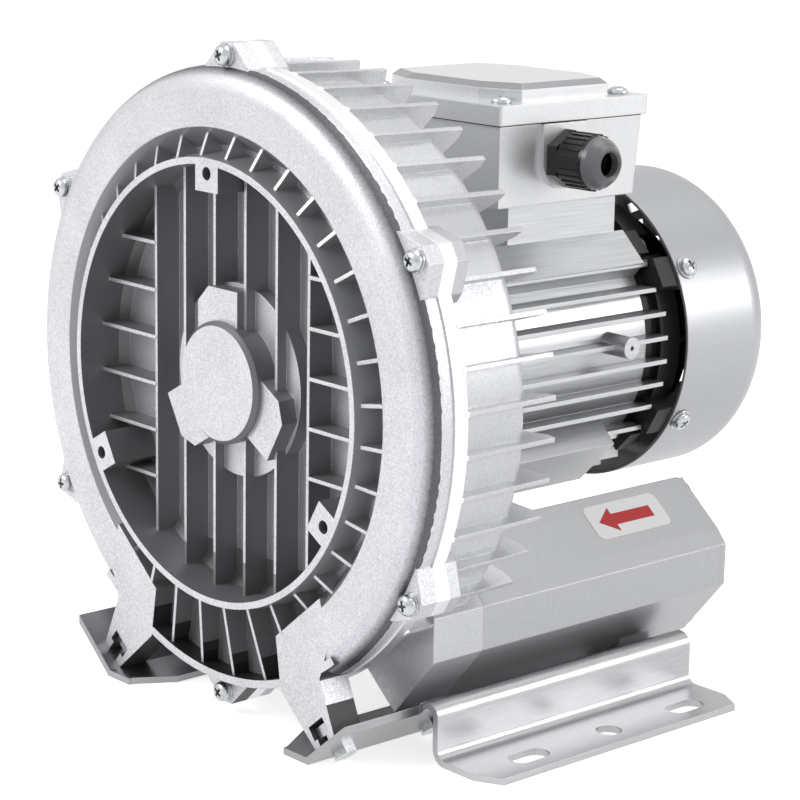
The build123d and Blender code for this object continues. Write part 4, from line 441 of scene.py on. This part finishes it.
def place_screws(name, screw, seats, twist, node, washer=None):
    """Sets a screw, and its washer if it has one, on every seat given as (point, outward direction)."""
    shell = bmesh.new()
    for number, (point, direction) in enumerate(seats):
        place = standing(point, direction) @ Matrix.Rotation(twist + 0.7 * number, 4, "Z")
        before = len(shell.verts)
        shell.from_mesh(screw)
        shell.verts.ensure_lookup_table()
        bmesh.ops.transform(shell, matrix=place, verts=shell.verts[before:])
        if washer:
            inner, outer, thick = washer
            ring = [(inner, -thick), (outer, -thick), (outer, -0.15), (outer - 0.15, 0), (inner, 0)]
            ring.append(ring[0])
            turn(shell, ring, 36, place)
    piece = finish_mesh(name, shell, zinc)
    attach(piece, "stator")
    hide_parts(node)


def round_shaft(angles, radius_mm, y_mm):
    """Points at angles round the shaft, in metres."""
    points = []
    for angle in angles:
        x = cos(radians(angle)) * radius_mm / 1000
        z = SHAFT_Z + sin(radians(angle)) * radius_mm / 1000
        points.append(Vector((x, y_mm / 1000, z)))
    return points


SMALL_HEAD = 2.6
EAR_ANGLES = (90, 30, -30, -90, -150, 150)
EAR_HEAD = 3.2
EAR_CIRCLE = 117.0
cover_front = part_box("cover_screws")[0][1] * 1000
ear_seats = [(point, (0, -1, 0)) for point in round_shaft(EAR_ANGLES, EAR_CIRCLE, cover_front + EAR_HEAD)]
place_screws("cover_pan_screws", pan_head(3.8, EAR_HEAD, 2.5, 16.8), ear_seats, 0.4, "cover_screws", (2.5, 4.2, 0.8))
small_screw = pan_head(3.9, SMALL_HEAD, 2.0, 6.0)
LID_SCREW_INSET = 0.0039
lid_low, lid_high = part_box("lid_screws")
lid_seats = [
    (Vector((x, y, lid_high[2] - SMALL_HEAD / 1000)), (0, 0, 1))
    for x in (lid_low[0] + LID_SCREW_INSET, lid_high[0] - LID_SCREW_INSET)
    for y in (lid_low[1] + LID_SCREW_INSET, lid_high[1] - LID_SCREW_INSET)
]
place_screws("lid_pan_screws", small_screw, lid_seats, 0.6, "lid_screws")
COWL_WASHER = (2.0, 4.6, 0.6)
COWL_SEAT = 0.0007
COWL_ANGLES = (29.5, 150.5, 209.5, 330.5)
cowl_low, cowl_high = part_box("cowl_screws")
cowl_screw_y = (cowl_low[1] + cowl_high[1]) / 2
cowl_radius = (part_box("fan_cowl")[1][0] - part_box("fan_cowl")[0][0]) / 2
cowl_seats = []
for angle in COWL_ANGLES:
    outward = Vector((cos(radians(angle)), 0, sin(radians(angle))))
    cowl_seats.append((Vector((0, cowl_screw_y, SHAFT_Z)) + outward * (cowl_radius + COWL_SEAT), outward))
place_screws("cowl_pan_screws", small_screw, cowl_seats, 0.3, "cowl_screws", COWL_WASHER)
TIE_RADIUS = 51.5
TIE_HEAD = 3.0
tie_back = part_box("shield_screws")[1][1] * 1000
tie_seats = [(point, (0, 1, 0)) for point in round_shaft((45, 135, 225, 315), TIE_RADIUS, tie_back - TIE_HEAD)]
place_screws("tie_pan_screws", pan_head(4.6, TIE_HEAD, 2.5, 134.0), tie_seats, 0.2, "shield_screws")
PORT_SEATS = ((62.3, 68.6), (66.4, 19.6), (39.9, 41.4))
port_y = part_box("inlet_port_screws")[1][1] - SMALL_HEAD / 1000
for side, name in ((1, "inlet"), (-1, "outlet")):
    port_seats = [(Vector((side * x / 1000, port_y, z / 1000)), (0, 1, 0)) for x, z in PORT_SEATS]
    port_screw = pan_head(3.9, SMALL_HEAD, 2.0, 12.0)
    place_screws(f"{name}_port_pan_screws", port_screw, port_seats, 0.5, f"{name}_port_screws")
dress(zinc, "box_screws", "foot_bolts", "tee_nuts")

# ---- Silencers ----------------------------------------------------------------------------------
# Each silencer is an aluminium tube in fine-textured silver paint, closed by an end plate with a
# threaded port, and lined with grey open-cell foam.
silencer_paint = silver_paint("fine_textured_silver_paint", "#A9AAAC", "#C1C2C4", 0.7, 0.34, 0.7, 0.05, 0.6)
dress(silencer_paint, "inlet_silencer", "outlet_silencer", "inlet_port_plate", "outlet_port_plate")
foam = moulded("grey_open_cell_foam", "#2B2B2D", "#4A4A4D", 0.95, 0.8)
dress(foam, "inlet_foam", "outlet_foam")

# ---- Flow arrow ---------------------------------------------------------------------------------
# A white vinyl label with rounded corners is stuck on the upper face of the inlet silencer. A red
# arrow on it points towards the blower.
vinyl, tree, shader = new_finish("white_vinyl")
place = add(tree, "TexCoord").outputs["Object"]
fibre = add(tree, "TexNoise", inputs={"Vector": place, "Scale": per_metre(3.0)})
colour_between(tree, shader, fibre.outputs["Fac"], "#EDEDEE", "#F6F6F6")
shader.inputs["Roughness"].default_value = 0.35
red_ink, tree, shader = new_finish("red_printing_ink")
place = add(tree, "TexCoord").outputs["Object"]
fibre = add(tree, "TexNoise", inputs={"Vector": place, "Scale": per_metre(2.0)})
colour_between(tree, shader, fibre.outputs["Fac"], "#B3060E", "#C20B14")
shader.inputs["Roughness"].default_value = 0.4
FACE_SLOPE = radians(40)
FACE_TOP = Vector((0.0621, 0, 0.0751))
FACE_DOWN = Vector((cos(FACE_SLOPE), 0, -sin(FACE_SLOPE)))
FACE_OUT = Vector((sin(FACE_SLOPE), 0, cos(FACE_SLOPE)))


def label_sheet(name, outline, start_mm, thick_mm, material):
    """A thin sheet on the silencer's upper face, from (y, distance down the face) points in mm."""
    shell = bmesh.new()
    faces = []
    for lift in (start_mm, start_mm + thick_mm):
        ring = []
        for y, down in outline:
            point = FACE_TOP + FACE_DOWN * (down / 1000) + FACE_OUT * (lift / 1000)
            ring.append(shell.verts.new((point.x, y / 1000, point.z)))
        faces.append(ring)
    shell.faces.new(faces[0])
    shell.faces.new(faces[1])
    for number in range(len(outline)):
        after = (number + 1) % len(outline)
        shell.faces.new((faces[0][number], faces[0][after], faces[1][after], faces[1][number]))
    piece = finish_mesh(name, shell, material)
    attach(piece, "stator")


FRONT, REAR, UPPER, LOWER = 24.7, 63.8, 4.2, 19.4
CORNER = 3.0
rounded = []
for y, down, start in (
    (REAR - CORNER, LOWER - CORNER, 0),
    (FRONT + CORNER, LOWER - CORNER, 90),
    (FRONT + CORNER, UPPER + CORNER, 180),
    (REAR - CORNER, UPPER + CORNER, 270),
):
    for step in range(7):
        angle = radians(start + step * 15)
        rounded.append((y + CORNER * cos(angle), down + CORNER * sin(angle)))
label_sheet("flow_label", rounded, 0.02, 0.15, vinyl)
arrow = [(29.0, 11.9), (37.0, 6.4), (37.0, 9.3), (57.5, 9.3), (57.5, 14.3), (37.0, 14.3), (37.0, 17.4)]
label_sheet("flow_arrow", arrow, 0.18, 0.03, red_ink)

# ---- Foot brackets ------------------------------------------------------------------------------
# Both feet are steel sheet, 2.5 mm thick, cut and bent. The sheet is satin, with rolling lines
# along it, the bends catch the light, and painted shade darkens the strips under the legs, more
# towards the rear.
STRIP_FRONT_Y = -0.103
STRIP_REAR_Y = -0.06
STRIP_REACH_X = 0.0815
# Rolling lines are typically about 0.05 mm apart. They are drawn at 0.5 mm, so that the streaks show.
bracket_steel, tree, shader = new_finish("rolled_satin_steel")
place = add(tree, "TexCoord").outputs["Object"]
stretched = add(tree, "Mapping", inputs={"Vector": place, "Scale": (1.0, 0.04, 1.0)})
lines = add(tree, "TexNoise", inputs={"Vector": stretched.outputs[0], "Scale": per_metre(0.5), "Detail": 4.0})
colour_between(tree, shader, lines.outputs["Fac"], "#A0A0A2", "#C4C4C6")
gloss = add(tree, "MapRange", inputs={"Value": lines.outputs["Fac"], "To Min": 0.24, "To Max": 0.4})
shader.inputs["Metallic"].default_value = 1.0
tree.links.new(gloss.outputs[0], shader.inputs["Roughness"])
rounded_relief(tree, shader, lines.outputs["Fac"], 0.3, 0.08, 0.3)
strip = {"Value": along(tree, "Y"), "From Min": STRIP_FRONT_Y, "From Max": STRIP_REAR_Y}
strip = add(tree, "MapRange", inputs=strip)
strip.inputs["To Min"].default_value = 0.45
strip_tone = {0: zone(tree, (along(tree, "X"), -STRIP_REACH_X, STRIP_REACH_X)), 1: strip.outputs[0]}
strip_tone = add(tree, "Math", {"operation": "MULTIPLY"}, strip_tone).outputs[0]
tone_over(bracket_steel, strip_tone, linear("#848587"))
dress(bracket_steel, "right_foot_bracket", "left_foot_bracket")

# ---- Shaft and impeller -------------------------------------------------------------------------
# The shaft is ground steel. The impeller is an aluminium casting with machined faces, keyed to the
# shaft, and the rotor's end rings are plain cast aluminium.
ground_steel = plain_metal("ground_shaft_steel", "#7E8083", "#B4B6B9", 0.2, 0.4, (1, 0.05, 1))
dress(ground_steel, "shaft", "impeller_key")
wheel_cast = cast_aluminium("machined_cast_wheel", "#A8AAAC", "#D0D2D4", 1.2, 0.08, 0.35)
dress(wheel_cast, "impeller")
ring_cast = cast_aluminium("plain_cast_aluminium", "#A2A4A6", "#C6C7C9", 1.2, 0.08, 0.42)
dress(ring_cast, "rotor_end_rings")

# ---- Rotor and stator cores ---------------------------------------------------------------------
# Both cores are stacks of thin electrical steel sheet. The edges of the sheets show as fine lines
# across the shaft.
core_sheet = plain_metal("stacked_electrical_sheet", "#44464A", "#6B6D71", 0.35, 0.55, (0.1, 4, 0.1))
dress(core_sheet, "rotor_core", "stator_core")

# ---- Bearings and clips -------------------------------------------------------------------------
# Two deep-groove ball bearings carry the rotor. Their rings and balls are polished steel, and their
# cages and the shaft's clips are blued spring steel.
race_steel = plain_metal("polished_bearing_steel", "#A9ACB0", "#D6D8DB", 0.08, 0.2, (1, 1, 1))
races = [f"{end}_bearing_{ring}" for end in ("front", "rear") for ring in ("inner_ring", "outer_ring", "balls")]
dress(race_steel, *races)
spring_steel = plain_metal("blued_spring_steel", "#4E5258", "#7C8087", 0.25, 0.45, (1, 1, 1))
dress(spring_steel, "front_bearing_cage", "rear_bearing_cage", "impeller_clip", "fan_clip")

# ---- Cooling fan --------------------------------------------------------------------------------
# The cooling fan is moulded in dark nylon and sits on the shaft's rear end. A thin flat dark ring
# closes its back outside the air inlet; the ring is painted shade, a dark sheet that keeps the inside of the cowl
# dark.
fan_nylon = moulded("matt_black_nylon", "#18191A", "#232425", 0.5, 0.04)
dress(fan_nylon, "cooling_fan")
# Painted shade: a dark ring behind the fan, so that the inside of the cowl reads dark.
SHROUD_RADIUS = 0.0466
SHROUD_EYE = 0.024
SHROUD_STEPS = 96
fan_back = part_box("cooling_fan")[1][1]
shroud = bmesh.new()
rims = []
for y, radius in ((-0.0012, SHROUD_EYE), (-0.0002, SHROUD_EYE), (-0.0002, SHROUD_RADIUS), (-0.0012, SHROUD_RADIUS)):
    rim = []
    for step in range(SHROUD_STEPS):
        angle = 2 * pi * step / SHROUD_STEPS
        rim.append(shroud.verts.new((radius * cos(angle), fan_back + y, SHAFT_Z + radius * sin(angle))))
    rims.append(rim)
for rim, after in zip(rims, rims[1:] + rims[:1]):
    for step in range(SHROUD_STEPS):
        shroud.faces.new((rim[step], rim[step - 1], after[step - 1], after[step]))
piece = finish_mesh("fan_shade_disc", shroud, fan_nylon)
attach(piece, "rotor")

# ---- Windings -----------------------------------------------------------------------------------
# The stator's coils are enamelled copper wire under brown varnish, laid round the stack's ends.
# The turns show as glossy ridges, drawn coarser than the real wire.
varnish, tree, shader = new_finish("varnished_copper_wire")
place = add(tree, "TexCoord").outputs["Object"]
strands = {"Vector": place, "Scale": per_metre(7), "Distortion": 2.0}
strands = add(tree, "TexWave", {"wave_type": "RINGS", "rings_direction": "Y"}, strands)
colour_between(tree, shader, strands.outputs["Fac"], "#5C2A12", "#A8582A")
relief = add(tree, "Bump", inputs={"Height": strands.outputs["Fac"], "Strength": 0.5, "Distance": 0.0004})
shader.inputs["Roughness"].default_value = 0.35
tree.links.new(relief.outputs[0], shader.inputs["Normal"])
dress(varnish, "stator_windings")

# ---- Floor, light and camera --------------------------------------------------------------------
# A white table and an even white room with three soft lamps. They aren't part of the blower.
# What the camera and the reflections see of the room is plain white.


def seen_directly(tree):
    """1 for rays from the camera and for reflected and refracted rays, and else 0."""
    path = add(tree, "LightPath").outputs
    seen = {0: path["Is Camera Ray"], 1: path["Is Glossy Ray"]}
    seen = add(tree, "Math", {"operation": "MAXIMUM"}, seen).outputs[0]
    return add(tree, "Math", {"operation": "MAXIMUM"}, {0: seen, 1: path["Is Transmission Ray"]}).outputs[0]


FLOOR_GLOW = 0.72
ROOM_LIGHT = 0.34
floor_mesh = bpy.data.meshes.new("floor")
FLOOR = 6.0
FLOOR_Z = -0.0002
corners = [(x * FLOOR, y * FLOOR, FLOOR_Z) for x, y in ((-1, -1), (1, -1), (1, 1), (-1, 1))]
floor_mesh.from_pydata(corners, [], [(0, 1, 2, 3)])
floor = bpy.data.objects.new("floor", floor_mesh)
bpy.context.collection.objects.link(floor)
white_table, tree, shader = new_finish("white_table")
shader.inputs["Base Color"].default_value = (0.8, 0.8, 0.8, 1)
shader.inputs["Roughness"].default_value = 0.9
shader.inputs["Specular IOR Level"].default_value = 0.0
glow = add(tree, "Math", {"operation": "MULTIPLY"}, {0: seen_directly(tree), 1: FLOOR_GLOW})
shader.inputs["Emission Color"].default_value = (1, 1, 1, 1)
tree.links.new(glow.outputs[0], shader.inputs["Emission Strength"])
floor_mesh.materials.append(white_table)

world = bpy.data.worlds.new("white_room")
bpy.context.scene.world = world
world.use_nodes = True
tree = world.node_tree
level = add(tree, "MapRange", inputs={"Value": seen_directly(tree), "To Min": ROOM_LIGHT, "To Max": 1.0})
tree.nodes["Background"].inputs["Color"].default_value = (1, 1, 1, 1)
tree.links.new(level.outputs[0], tree.nodes["Background"].inputs["Strength"])


def soft_lamp(name, place, size, watts):
    """A large square lamp that looks at the middle of the blower."""
    lamp = bpy.data.lights.new(name, "AREA")
    lamp.size = size
    lamp.energy = watts
    lamp_object = bpy.data.objects.new(name, lamp)
    aim = Vector((0, 0, 0.12)) - Vector(place)
    lamp_object.location = place
    lamp_object.rotation_euler = aim.to_track_quat("-Z", "Y").to_euler()
    bpy.context.collection.objects.link(lamp_object)


soft_lamp("key", (-0.6, -1.3, 1.1), 0.8, 13)
soft_lamp("top", (0.3, 0.4, 1.6), 1.0, 7)
soft_lamp("side", (1.35, 1.2, 0.62), 0.6, 8)

camera_data = bpy.data.cameras.new("camera")
camera_data.sensor_width = 36.0
camera_data.lens = 113.54
camera_data.clip_start = 0.01
camera = bpy.data.objects.new("camera", camera_data)
bpy.context.collection.objects.link(camera)
AZIMUTH, ELEVATION, ROLL = radians(48.358), radians(12.989), radians(0.9925)
back = Vector((sin(AZIMUTH) * cos(ELEVATION), -cos(AZIMUTH) * cos(ELEVATION), sin(ELEVATION)))
right = Vector((cos(AZIMUTH), sin(AZIMUTH), 0))
up = back.cross(right)
across = right * cos(ROLL) + up * sin(ROLL)
upward = up * cos(ROLL) - right * sin(ROLL)
camera.matrix_world = Matrix(
    (
        (across.x, upward.x, back.x, 0.70345),
        (across.y, upward.y, back.y, -0.63428),
        (across.z, upward.z, back.z, 0.32421),
        (0, 0, 0, 1),
    )
)
bpy.context.scene.camera = camera
bpy.context.scene.view_settings.view_transform = "Standard"
